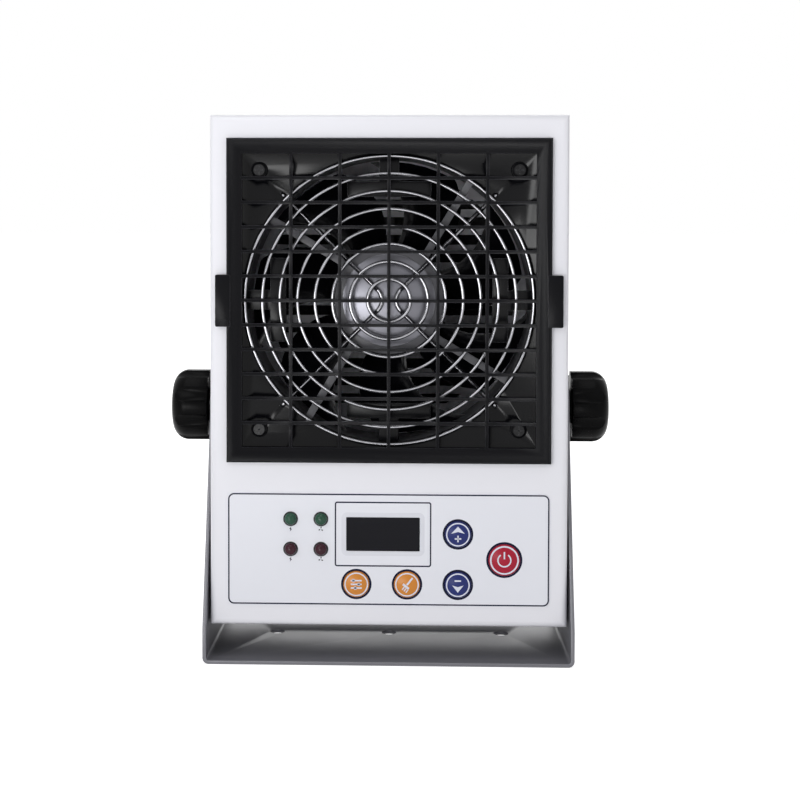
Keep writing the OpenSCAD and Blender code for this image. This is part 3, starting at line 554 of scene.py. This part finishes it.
class Solids:
    """Small closed forms that the sub-assemblies are built from."""

    @staticmethod
    def flat(width: float, height: float, radius: float) -> bmesh.types.BMesh:
        """Flat rectangle in X and Y with round corners.

        Args:
            width: Size along X.
            height: Size along Y.
            radius: Corner radius, or 0 for square corners.

        Returns:
            The flat face.
        """
        mesh = bmesh.new()
        bmesh.ops.create_grid(mesh, x_segments=1, y_segments=1, size=0.5)
        bmesh.ops.scale(mesh, vec=(width, height, 1.0), verts=mesh.verts)
        if radius > 0.0:
            bmesh.ops.bevel(mesh, geom=list(mesh.verts), offset=radius, segments=8, profile=0.5,
                            affect="VERTICES", material=-1)
        return mesh

    @staticmethod
    def plate(width: float, height: float, low: float, high: float,
              at: Flat) -> bmesh.types.BMesh:
        """Rectangular plate that faces the front.

        Args:
            width: Size along X.
            height: Size along Z.
            low: Front Y.
            high: Rear Y.
            at: Middle as X and Z.

        Returns:
            The plate.
        """
        return Solids.raised(Solids.flat(width, height, 0.0), low, high, at)

    @staticmethod
    def raised(mesh: bmesh.types.BMesh, low: float, high: float, at: Flat) -> bmesh.types.BMesh:
        """Stands a flat outline up and gives it depth.

        Args:
            mesh: Flat faces in X and Y.
            low: Front Y.
            high: Rear Y.
            at: Middle as X and Z.

        Returns:
            The closed solid.
        """
        made = bmesh.ops.extrude_face_region(mesh, geom=list(mesh.faces))
        moved = [v for v in made["geom"] if isinstance(v, bmesh.types.BMVert)]
        bmesh.ops.translate(mesh, vec=(0.0, 0.0, high - low), verts=moved)
        turn = Matrix(((1, 0, 0, at[0]), (0, 0, 1, low), (0, 1, 0, at[1]), (0, 0, 0, 1)))
        bmesh.ops.transform(mesh, matrix=turn, verts=mesh.verts)
        bmesh.ops.recalc_face_normals(mesh, faces=mesh.faces)
        return mesh

    @staticmethod
    def outline(points: list[Flat], low: float, high: float, at: Flat,
                turn: float = 0.0) -> bmesh.types.BMesh:
        """Raised shape from a few corner points.

        Args:
            points: Corners as X and Z about the middle.
            low: Front Y.
            high: Rear Y.
            at: Middle as X and Z.
            turn: Turn about the middle in degrees.

        Returns:
            The closed solid.
        """
        mesh = bmesh.new()
        mesh.faces.new([mesh.verts.new((x, z, 0.0)) for x, z in points])
        bmesh.ops.rotate(mesh, matrix=Matrix.Rotation(math.radians(turn), 3, "Z"),
                         verts=mesh.verts)
        bmesh.ops.triangulate(mesh, faces=mesh.faces)
        return Solids.raised(mesh, low, high, at)

    @staticmethod
    def frame_line(width: float, height: float, radius: float, line: float, low: float,
                   high: float, at: Flat) -> bmesh.types.BMesh:
        """Thin line around a rectangle with round corners.

        Args:
            width: Outer size along X.
            height: Outer size along Z.
            radius: Outer corner radius.
            line: Width of the line.
            low: Front Y.
            high: Rear Y.
            at: Middle as X and Z.

        Returns:
            The closed line.
        """
        mesh = Solids.flat(width, height, radius)
        inner = list(mesh.faces)
        bmesh.ops.inset_region(mesh, faces=inner, thickness=line, use_boundary=True,
                               use_even_offset=True)
        bmesh.ops.delete(mesh, geom=inner, context="FACES")
        return Solids.raised(mesh, low, high, at)

    @staticmethod
    def ring(outer: float, inner: float, low: float, high: float, at: Flat,
             start: float = 0.0, sweep: float = 360.0, steps: int = 48) -> bmesh.types.BMesh:
        """Flat ring or part of one that faces the front.

        Args:
            outer: Outer radius.
            inner: Inner radius.
            low: Front Y.
            high: Rear Y.
            at: Middle as X and Z.
            start: Where a part ring starts, in degrees from +X.
            sweep: Angle of the ring in degrees.
            steps: Number of faces along the ring.

        Returns:
            The closed ring.
        """
        mesh = bmesh.new()
        verts = [mesh.verts.new((r, 0.0, 0.0)) for r in (inner, outer)]
        edge = mesh.edges.new(verts)
        bmesh.ops.rotate(mesh, matrix=Matrix.Rotation(math.radians(start), 3, "Z"), verts=verts)
        bmesh.ops.spin(mesh, geom=[*verts, edge], axis=(0, 0, 1), angle=math.radians(sweep),
                       steps=steps, use_merge=sweep >= 360.0)
        return Solids.raised(mesh, low, high, at)

    @staticmethod
    def joined(parts: list[bmesh.types.BMesh]) -> bmesh.types.BMesh:
        """Gathers several solids in one mesh.

        Args:
            parts: The solids. They are freed.

        Returns:
            One bmesh with all of them.
        """
        whole = bmesh.new()
        for part in parts:
            held = bpy.data.meshes.new("held")
            part.to_mesh(held)
            part.free()
            whole.from_mesh(held)
            bpy.data.meshes.remove(held)
        return whole


def middle(node: str) -> Vector:
    """Gives the middle of a frame node's box."""
    low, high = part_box(node)
    return (low + high) / 2


# ------------------------------------------------------------------ sub-assemblies


@dataclass
class Screws:
    """A set of frame screws at the corners of their box, with the cross recess on each head drawn as a
    dark cross of painted shade.

    Attributes:
        node: Frame node with the screws.
        head: Radius of a head.
        finish: Finish of the screws.
        slot: The record's material slot.
        front: Whether the heads face the front.
        reach: Length of a recess arm against the head's radius.
        arm: Half width of a recess arm against its length.
        proud: Height of the painted-shade cross over the head.
    """

    node: str
    head: float
    finish: Finish
    slot: str
    front: bool = False
    reach: float = 0.55
    arm: float = 0.16
    proud: float = 0.04 * MM

    def build(self, maker: Maker) -> None:
        """Gives the screws their finish and adds the recess crosses in painted shade.

        Args:
            maker: Makes the pieces.
        """
        maker.finish_node(self.node, self.finish)
        low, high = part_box(self.node)
        face = (low.y - self.proud, low.y) if self.front else (high.y, high.y + self.proud)
        reach = self.head * self.reach
        arm = reach * self.arm
        rows = sorted({low.z + self.head, high.z - self.head})
        # Painted shade: a thin dark cross on the head stands in for the shaded hollow of the recess.
        crosses = []
        for place in [(x, z) for x in (low.x + self.head, high.x - self.head) for z in rows]:
            for width, height in ((2 * reach, 2 * arm), (2 * arm, 2 * reach)):
                crosses.append(Solids.plate(width, height, *face, place))
        body = frame["nodes"][self.node]["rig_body"]
        maker.piece(f"{self.node}_recess", Solids.joined(crosses), Finishes.dark_screw_and_shade, body,
                    self.slot)


@dataclass
class Housing:
    """Folded sheet case with its rear cover and screws.

    Attributes:
        bevel: Width of the broken sheet edges.
        screw_head: Radius of a cover screw's head.
    """

    bevel: float = 0.15 * MM
    screw_head: float = 3.0 * MM

    def build(self, maker: Maker) -> None:
        """Dresses the case, its cover and the fixings.

        Args:
            maker: Makes the pieces.
        """
        maker.softened("housing_shell", "case_shell", Finishes.case, "case_paint")
        maker.softened("rear_cover", "back_cover", Finishes.case, "case_paint", self.bevel)
        Screws("cover_screws", self.screw_head, Finishes.zinc, "steel").build(maker)


@dataclass
class Stand:
    """U bracket with its tilt joint and hand knobs.

    Attributes:
        bevel: Width of the broken edges of the bracket and the nuts.
        knob_bevel: Width of the rounding along the knob's flutes.
    """

    bevel: float = 0.2 * MM
    knob_bevel: float = 0.45 * MM

    def build(self, maker: Maker) -> None:
        """Dresses the bracket, washers, nuts, studs and knobs.

        Args:
            maker: Makes the pieces.
        """
        maker.softened("bracket", "tilt_bracket", Finishes.bracket, "bracket_paint", self.bevel)
        for side in ("left", "right"):
            maker.softened(f"knob_{side}", f"hand_knob_{side}", Finishes.knob, "black_gloss",
                           self.knob_bevel, sharp=50.0)
            maker.finish_node(f"stud_{side}", Finishes.zinc)
            maker.softened(f"tilt_washer_{side}", f"washer_{side}", Finishes.rubber, "rubber_grey")
            maker.softened(f"tilt_nut_{side}", f"weld_nut_{side}", Finishes.zinc, "steel",
                           self.bevel)


@dataclass
class FrontGrille:
    """Pull-off grille with a sloping rim, thin bars and two finger tabs.

    Attributes:
        bevel: Width of the moulded edge rounding.
    """

    bevel: float = 0.12 * MM

    def build(self, maker: Maker) -> None:
        """Builds the softened grille.

        Args:
            maker: Makes the pieces.
        """
        maker.softened("front_grille", "grille", Finishes.grille, "black_matte", self.bevel)


@dataclass
class FanBay:
    """Tray, wire guard, fan and emitter blocks behind the grille.

    Attributes:
        screw_pitch: Distance between two screws of the fan.
    """

    screw_pitch: float = 105.0 * MM

    def build(self, maker: Maker) -> None:
        """Dresses everything in the bay.

        Args:
            maker: Makes the pieces.
        """
        maker.softened("fan_tray", "bay_tray", Finishes.tray, "black_gloss", 0.1 * MM)
        maker.softened("wire_guard", "finger_guard", Finishes.wire, "chrome_wire", sharp=60.0)
        maker.softened("fan_frame", "fan_body", Finishes.fan, "fan_black", 0.15 * MM)
        maker.softened("fan_rotor", "fan_wheel", Finishes.rotor, "fan_black")
        maker.softened("motor_cap", "fan_cap", Finishes.cap, "brushed_cap", 0.12 * MM)
        maker.finish_node("fan_stator", Finishes.winding)
        maker.finish_node("fan_nuts", Finishes.zinc)
        low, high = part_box("fan_screws")
        Screws("fan_screws", (high.x - low.x - self.screw_pitch) / 2, Finishes.dark_screw_and_shade,
               "black_steel", front=True).build(maker)
        for place in ("top", "right", "bottom", "left"):
            maker.softened(f"emitter_{place}", f"emitter_block_{place}", Finishes.emitter,
                           "black_matte", 0.35 * MM)
        maker.finish_node("emitter_needles", Finishes.zinc)


class Sign(Enum):
    """Generic signs on the keys."""

    LINES = "lines"
    BRUSH = "brush"
    RAISE = "raise"
    LOWER = "lower"
    POWER = "power"


@dataclass
class Key:
    """One key with its printed ring and sign.

    Attributes:
        node: Frame node of the key.
        body: Body that the key is.
        finish: Finish of the cap.
        slot: The record's material slot of the cap.
        sign: The sign printed on it.
        film: Thickness of the pale ring and sign.
        ring: Outer and inner radius of the pale ring against the cap's.
        flange: Width of the flange hidden under the film.
        sign_radius: Radius of a cap that shows the sign at its drawn size.
    """

    node: str
    body: str
    finish: Finish
    slot: str
    sign: Sign
    film: float = 0.05 * MM
    ring: Flat = (0.92, 0.82)
    flange: float = 1.0 * MM
    sign_radius: float = 5.2 * MM

    def build(self, maker: Maker) -> None:
        """Dresses the cap and adds its pale ring and sign.

        Args:
            maker: Makes the pieces.
        """
        maker.softened(self.node, f"{self.body}_cap", self.finish, self.slot, sharp=50.0)
        centre = middle(self.node)
        low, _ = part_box(self.node)
        at = (centre.x, centre.z)
        radius = self.radius()
        front, back = low.y - self.film, low.y + SINK
        pale = Solids.ring(radius * self.ring[0], radius * self.ring[1], front, back, at)
        maker.piece(f"{self.body}_ring", pale, Finishes.pale_ink, self.body, self.slot)
        marks = Solids.joined(self._marks(at, radius / self.sign_radius, front, back))
        maker.piece(f"{self.body}_sign", marks, Finishes.pale_ink, self.body, self.slot)

    def radius(self) -> float:
        """Gives the radius of the cap without its hidden flange."""
        low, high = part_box(self.node)
        return (high.x - low.x) / 2 - self.flange

    def _marks(self, at: Flat, size: float, low: float, high: float) -> list[bmesh.types.BMesh]:
        """Makes the strokes of the sign.

        Args:
            at: Middle of the key.
            size: Size of the sign against that of a small key.
            low: Front Y.
            high: Rear Y.

        Returns:
            One solid for each stroke.
        """
        unit = MM * size

        def bar(x: float, z: float, width: float, height: float,
                turn: float = 0.0) -> bmesh.types.BMesh:
            """Makes one straight stroke, in millimetres of a small key.

            Args:
                x: Middle of the stroke to the right of the key's middle.
                z: Middle of the stroke above the key's middle.
                width: Size along X before the turn.
                height: Size along Z before the turn.
                turn: Turn of the stroke in degrees.

            Returns:
                The stroke.
            """
            w, h = width / 2 * unit, height / 2 * unit
            place = (at[0] + x * unit, at[1] + z * unit)
            return Solids.outline([(-w, -h), (w, -h), (w, h), (-w, h)], low, high, place, turn)

        def wedge(points: list[Flat]) -> bmesh.types.BMesh:
            """Makes one pointed stroke from corners in millimetres of a small key."""
            return Solids.outline([(x * unit, z * unit) for x, z in points], low, high, at)

        if self.sign is Sign.LINES:
            return [bar(0, z, 4.4, 0.6) for z in (-1.5, 0, 1.5)] + [
                bar(x, z, 0.9, 1.3) for x, z in ((-1.1, 1.5), (1.0, 0), (-0.4, -1.5))]
        if self.sign is Sign.BRUSH:
            lean = -38.0
            return [bar(1.1, 1.3, 0.75, 3.6, lean), bar(-0.45, -0.7, 3.0, 0.9, lean)] + [
                bar(-1.5 + 0.75 * i, -1.5 - 0.55 * i, 0.45, 1.5, lean) for i in range(3)]
        if self.sign is Sign.RAISE:
            return [wedge([(-2.7, 0.4), (0, 1.1), (2.7, 0.4), (0, 3.3)]),
                    bar(0, -1.7, 2.6, 0.6), bar(0, -1.7, 0.6, 2.6)]
        if self.sign is Sign.LOWER:
            return [bar(0, 1.7, 2.6, 0.6), wedge([(-2.3, -0.1), (0, -3.0), (2.3, -0.1), (0, -0.8)])]
        arc = Solids.ring(2.35 * unit, 1.9 * unit, low, high, at, start=125.0, sweep=290.0, steps=36)
        return [arc, bar(0, 1.6, 0.5, 2.4)]


@dataclass
class ControlPanel:
    """Keypad film with its printed lines, lamps, window and keys.

    Attributes:
        line: Width of the printed outlines.
        ink: Thickness of a printed line.
        margin: Bare film outside the panel's outline.
        corner: Corner radius of the panel's outline.
        bezel: Size of the outline around the window.
        bezel_corner: Corner radius of that outline.
        surround: Width by which the printed surround stands out past the window.
        surround_line: Width of the surround's line.
        surround_corner: Corner radius of the surround.
        key_ring: How far the dark ring about a key starts and ends from the key.
        lamp_rim: Width of the dark rim about a lamp.
        lamp_lap: How far that rim laps over the lamp.
        sign_drop: Distance from a lamp down to its sign.
        keys: The five keys.
    """

    line: float = 0.55 * MM
    ink: float = 0.04 * MM
    margin: float = 0.15 * MM
    corner: float = 2.4 * MM
    bezel: Flat = (38.8 * MM, 26.2 * MM)
    bezel_corner: float = 1.0 * MM
    surround: float = 2.0 * MM
    surround_line: float = 1.9 * MM
    surround_corner: float = 2.2 * MM
    key_ring: Flat = (0.16 * MM, 0.95 * MM)
    lamp_rim: float = 0.5 * MM
    lamp_lap: float = 0.02 * MM
    sign_drop: float = 4.1 * MM
    keys: list[Key] = field(default_factory=lambda: [
        Key("key_mode", "mode_key", Finishes.orange, "key_orange", Sign.LINES),
        Key("key_clean", "clean_key", Finishes.orange, "key_orange", Sign.BRUSH),
        Key("key_up", "up_key", Finishes.blue, "key_blue", Sign.RAISE),
        Key("key_down", "down_key", Finishes.blue, "key_blue", Sign.LOWER),
        Key("key_power", "power_key", Finishes.red, "key_red", Sign.POWER)])

    def build(self, maker: Maker) -> None:
        """Dresses the film, lamps, window, keys and what lies behind them.

        Args:
            maker: Makes the pieces.
        """
        maker.finish_node("keypad_film", Finishes.film)
        self._print(maker)
        self._lamps(maker)
        maker.finish_node("display_window", Finishes.window)
        maker.finish_node("display_module", Finishes.potting)
        maker.finish_node("control_board", Finishes.board)
        maker.finish_node("board_posts", Finishes.zinc)
        maker.finish_node("key_switches", Finishes.potting)
        for key in self.keys:
            key.build(maker)

    def _print(self, maker: Maker) -> None:
        """Adds the printed outline, the bezel and the dark rings about the keys.

        Args:
            maker: Makes the pieces.
        """
        low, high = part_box("keypad_film")
        centre = middle("keypad_film")
        front, back = low.y - self.ink, low.y + SINK
        outline = Solids.frame_line(high.x - low.x - 2 * self.margin, high.z - low.z - 2 * self.margin,
                                    self.corner, self.line, front, back, (centre.x, centre.z))
        maker.piece("panel_outline", outline, Finishes.ink, "case", "film")
        low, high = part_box("display_window")
        at = ((low.x + high.x) / 2, (low.z + high.z) / 2)
        edge = Solids.frame_line(*self.bezel, self.bezel_corner, self.line, front, back, at)
        maker.piece("display_outline", edge, Finishes.ink, "case", "film")
        shade = Solids.frame_line(high.x - low.x + 2 * self.surround, high.z - low.z + 2 * self.surround,
                                  self.surround_corner, self.surround_line, front + self.ink / 2,
                                  back, at)
        maker.piece("display_surround", shade, Finishes.bezel, "case", "film")
        rings = []
        for key in self.keys:
            spot = middle(key.node)
            inner, outer = (key.radius() + far for far in self.key_ring)
            rings.append(Solids.ring(outer, inner, front, back, (spot.x, spot.z)))
        maker.piece("key_rings", Solids.joined(rings), Finishes.ink, "case", "film")

    def _lamps(self, maker: Maker) -> None:
        """Dresses the four lamps and adds a dark rim about each.

        Args:
            maker: Makes the pieces.
        """
        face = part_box("keypad_film")[0].y
        rims = []
        for node, finish, slot in (("lamps_green", Finishes.green_lamp, "lamp_green"),
                                   ("lamps_red", Finishes.red_lamp, "lamp_red")):
            maker.softened(node, f"{node}_lens", finish, slot, sharp=60.0)
            low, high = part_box(node)
            radius = (high.z - low.z) / 2
            for x in (low.x + radius, high.x - radius):
                rims.append(Solids.ring(radius + self.lamp_rim, radius - self.lamp_lap,
                                        face - self.ink, face + SINK, (x, middle(node).z)))
        maker.piece("lamp_rims", Solids.joined(rims), Finishes.dark_screw_and_shade, "case", "film")
        signs = Solids.joined(self._lamp_signs(face))
        maker.piece("lamp_signs", signs, Finishes.ink, "case", "film")

    def _lamp_signs(self, face: float) -> list[bmesh.types.BMesh]:
        """Makes a small bolt under each left lamp and a fan wheel under each right one.

        Args:
            face: Y of the film's front.

        Returns:
            One solid for each stroke.
        """
        bolt = [(-0.5, 0.1), (0.25, 1.0), (0.1, 0.2), (0.5, -0.05), (-0.25, -1.0), (-0.1, -0.1)]
        blade = [(0.0, 0.15), (0.32, 0.5), (0.24, 1.0), (-0.18, 0.95), (-0.1, 0.5)]
        front, back = face - self.ink, face + SINK
        marks = []
        for node in ("lamps_green", "lamps_red"):
            low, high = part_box(node)
            radius = (high.z - low.z) / 2
            z = middle(node).z - self.sign_drop
            for x, shape, turns in ((low.x + radius, bolt, (0,)),
                                    (high.x - radius, blade, (0, 120, 240))):
                points = [(u * MM, v * MM) for u, v in shape]
                marks += [Solids.outline(points, front, back, (x, z), turn) for turn in turns]
        return marks


@dataclass
class Rear:
    """Rear filter, mains inlet and earth terminal, with the module behind them.

    Attributes:
        bevel: Width of the moulded edge rounding.
        screw_head: Radius of a screw's head.
    """

    bevel: float = 0.15 * MM
    screw_head: float = 3.0 * MM

    def build(self, maker: Maker) -> None:
        """Dresses the rear side and the inner parts.

        Args:
            maker: Makes the pieces.
        """
        maker.softened("filter_base", "filter_frame", Finishes.rear, "black_matte", self.bevel)
        maker.softened("filter_cover", "filter_lid", Finishes.rear, "black_matte", self.bevel)
        maker.finish_node("filter_foam", Finishes.foam)
        maker.softened("mains_inlet", "inlet_body", Finishes.rear, "black_matte", 0.2 * MM)
        maker.finish_node("inlet_pins", Finishes.brass)
        maker.softened("earth_terminal", "earth_stud", Finishes.brass, "brass", sharp=40.0)
        for node in ("filter_screws", "inlet_screws"):
            Screws(node, self.screw_head, Finishes.zinc, "steel").build(maker)
        maker.finish_node("high_voltage_module", Finishes.potting)
        maker.finish_node("module_screws", Finishes.zinc)


# ------------------------------------------------------------------ studio


@dataclass(frozen=True)
class Lamp:
    """A large square soft lamp.

    Attributes:
        name: Name of the lamp.
        at: Place of the lamp in metres.
        size: Side of the lamp in metres.
        power: Power in watts.
        aim: Point that the lamp faces.
    """

    name: str
    at: Place
    size: float
    power: float
    aim: Place = (0.0, 0.0, 0.12)

    def build(self) -> None:
        """Adds the lamp to the scene."""
        light = bpy.data.lights.new(self.name, "AREA")
        light.size = self.size
        light.energy = self.power
        lamp = bpy.data.objects.new(self.name, light)
        lamp.location = self.at
        view = Vector(self.aim) - Vector(self.at)
        lamp.rotation_euler = view.to_track_quat("-Z", "Y").to_euler()
        bpy.context.scene.collection.objects.link(lamp)


@dataclass
class Studio:
    """Pale floor, plain soft light and the camera.

    Attributes:
        lamps: The soft lamps around the blower.
        room_light: Level at which the white room lights the blower.
        floor_glow: Share of its own white that the floor shows to the camera.
        floor_reach: Distance from the middle of the floor to its edge, in metres.
        floor_drop: Gap between the blower and the floor.
        camera_at: Place of the camera.
        yaw: Turn of the camera to the left, in degrees.
        pitch: Tilt of the camera downwards, in degrees.
        roll: Turn of the camera about its view, in degrees.
        lens: Focal length in millimetres on a 36 mm sensor.
        shift: Camera shift.
    """

    lamps: tuple[Lamp, ...] = (
        Lamp("key_light", (-0.85, -1.1, 0.85), 0.8, 4.4),
        Lamp("fill_light", (1.2, -1.4, 0.6), 1.2, 1.5),
        Lamp("top_light", (-0.1, -0.3, 1.7), 1.0, 4.6),
        Lamp("rear_light", (0.3, 1.7, 1.0), 1.5, 10.5),
        Lamp("table_light", (-0.3, -0.93, 0.06), 0.55, 9.0, (-0.12, -0.7, 1.0)))
    room_light: float = 0.42
    floor_glow: float = 0.7
    floor_reach: float = 60.0
    floor_drop: float = 0.1 * MM
    camera_at: Place = (7 * MM, -640 * MM, 174.5 * MM)
    yaw: float = 1.8
    pitch: float = 1.8
    roll: float = 0.1
    lens: float = 67.5
    shift: Flat = (0.051, -0.154)

    def build(self, maker: Maker) -> None:
        """Sets up the floor, lights, world and camera.

        Args:
            maker: Taken as by every assembly; the studio has no pieces to make.
        """
        self._floor()
        self._world()
        for lamp in self.lamps:
            lamp.build()
        self._camera()
        bpy.context.scene.view_settings.view_transform = "Standard"

    @staticmethod
    def _camera_rays(tree: bpy.types.NodeTree) -> bpy.types.NodeSocket:
        """Gives 1 for rays from the camera, from reflections and through clear pieces.

        Args:
            tree: Node tree to work in.

        Returns:
            The mask socket.
        """
        path = tree.nodes.new("ShaderNodeLightPath")
        mask = path.outputs["Is Camera Ray"]
        for ray in ("Is Transmission Ray", "Is Glossy Ray"):
            either = tree.nodes.new("ShaderNodeMath")
            either.operation = "MAXIMUM"
            tree.links.new(mask, either.inputs[0])
            tree.links.new(path.outputs[ray], either.inputs[1])
            mask = either.outputs[0]
        return mask

    def _floor(self) -> None:
        """Makes the pale floor that keeps the blower's shadow."""
        mesh = bmesh.new()
        bmesh.ops.create_grid(mesh, x_segments=1, y_segments=1, size=self.floor_reach)
        bmesh.ops.translate(mesh, vec=(0.0, 0.0, -self.floor_drop), verts=mesh.verts)
        data = bpy.data.meshes.new("floor")
        mesh.to_mesh(data)
        mesh.free()
        floor = bpy.data.objects.new("floor", data)
        bpy.context.scene.collection.objects.link(floor)
        pale = bpy.data.materials.new("floor_white")
        pale.use_nodes = True
        shader = pale.node_tree.nodes["Principled BSDF"]
        shader.inputs["Base Color"].default_value = (0.92, 0.92, 0.92, 1)
        shader.inputs["Roughness"].default_value = 0.9
        shader.inputs["Specular IOR Level"].default_value = 0.0
        shader.inputs["Emission Color"].default_value = (1, 1, 1, 1)
        lift = pale.node_tree.nodes.new("ShaderNodeMath")
        lift.operation = "MULTIPLY"
        lift.inputs[1].default_value = self.floor_glow
        pale.node_tree.links.new(self._camera_rays(pale.node_tree), lift.inputs[0])
        pale.node_tree.links.new(lift.outputs[0], shader.inputs["Emission Strength"])
        data.materials.append(pale)

    def _world(self) -> None:
        """Lights the room evenly and shows it white."""
        world = bpy.data.worlds.new("studio")
        bpy.context.scene.world = world
        world.use_nodes = True
        tree = world.node_tree
        sky = tree.nodes["Background"]
        sky.inputs["Color"].default_value = (1, 1, 1, 1)
        level = tree.nodes.new("ShaderNodeMapRange")
        level.inputs["To Min"].default_value = self.room_light
        level.inputs["To Max"].default_value = 1.0
        tree.links.new(self._camera_rays(tree), level.inputs["Value"])
        tree.links.new(level.outputs[0], sky.inputs["Strength"])

    def _camera(self) -> None:
        """Adds the camera and makes it the scene's."""
        data = bpy.data.cameras.new("camera")
        data.lens = self.lens
        data.sensor_width = 36.0
        data.shift_x, data.shift_y = self.shift
        camera = bpy.data.objects.new("camera", data)
        turn = (Matrix.Rotation(math.radians(self.yaw), 4, "Z")
                @ Matrix.Rotation(math.radians(90.0 - self.pitch), 4, "X")
                @ Matrix.Rotation(math.radians(self.roll), 4, "Z"))
        camera.matrix_world = Matrix.Translation(self.camera_at) @ turn
        bpy.context.scene.collection.objects.link(camera)
        bpy.context.scene.camera = camera


def main() -> None:
    """Builds the sub-assemblies in order."""
    logging.basicConfig(level=logging.INFO, format="%(name)s: %(message)s")
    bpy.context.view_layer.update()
    maker = Maker(Effects())
    for assembly in (Housing(), Stand(), FrontGrille(), FanBay(), ControlPanel(), Rear(),
                     Studio()):
        assembly.build(maker)
        LOG.info("built %s", type(assembly).__name__)


if __name__ == "__main__":
    main()
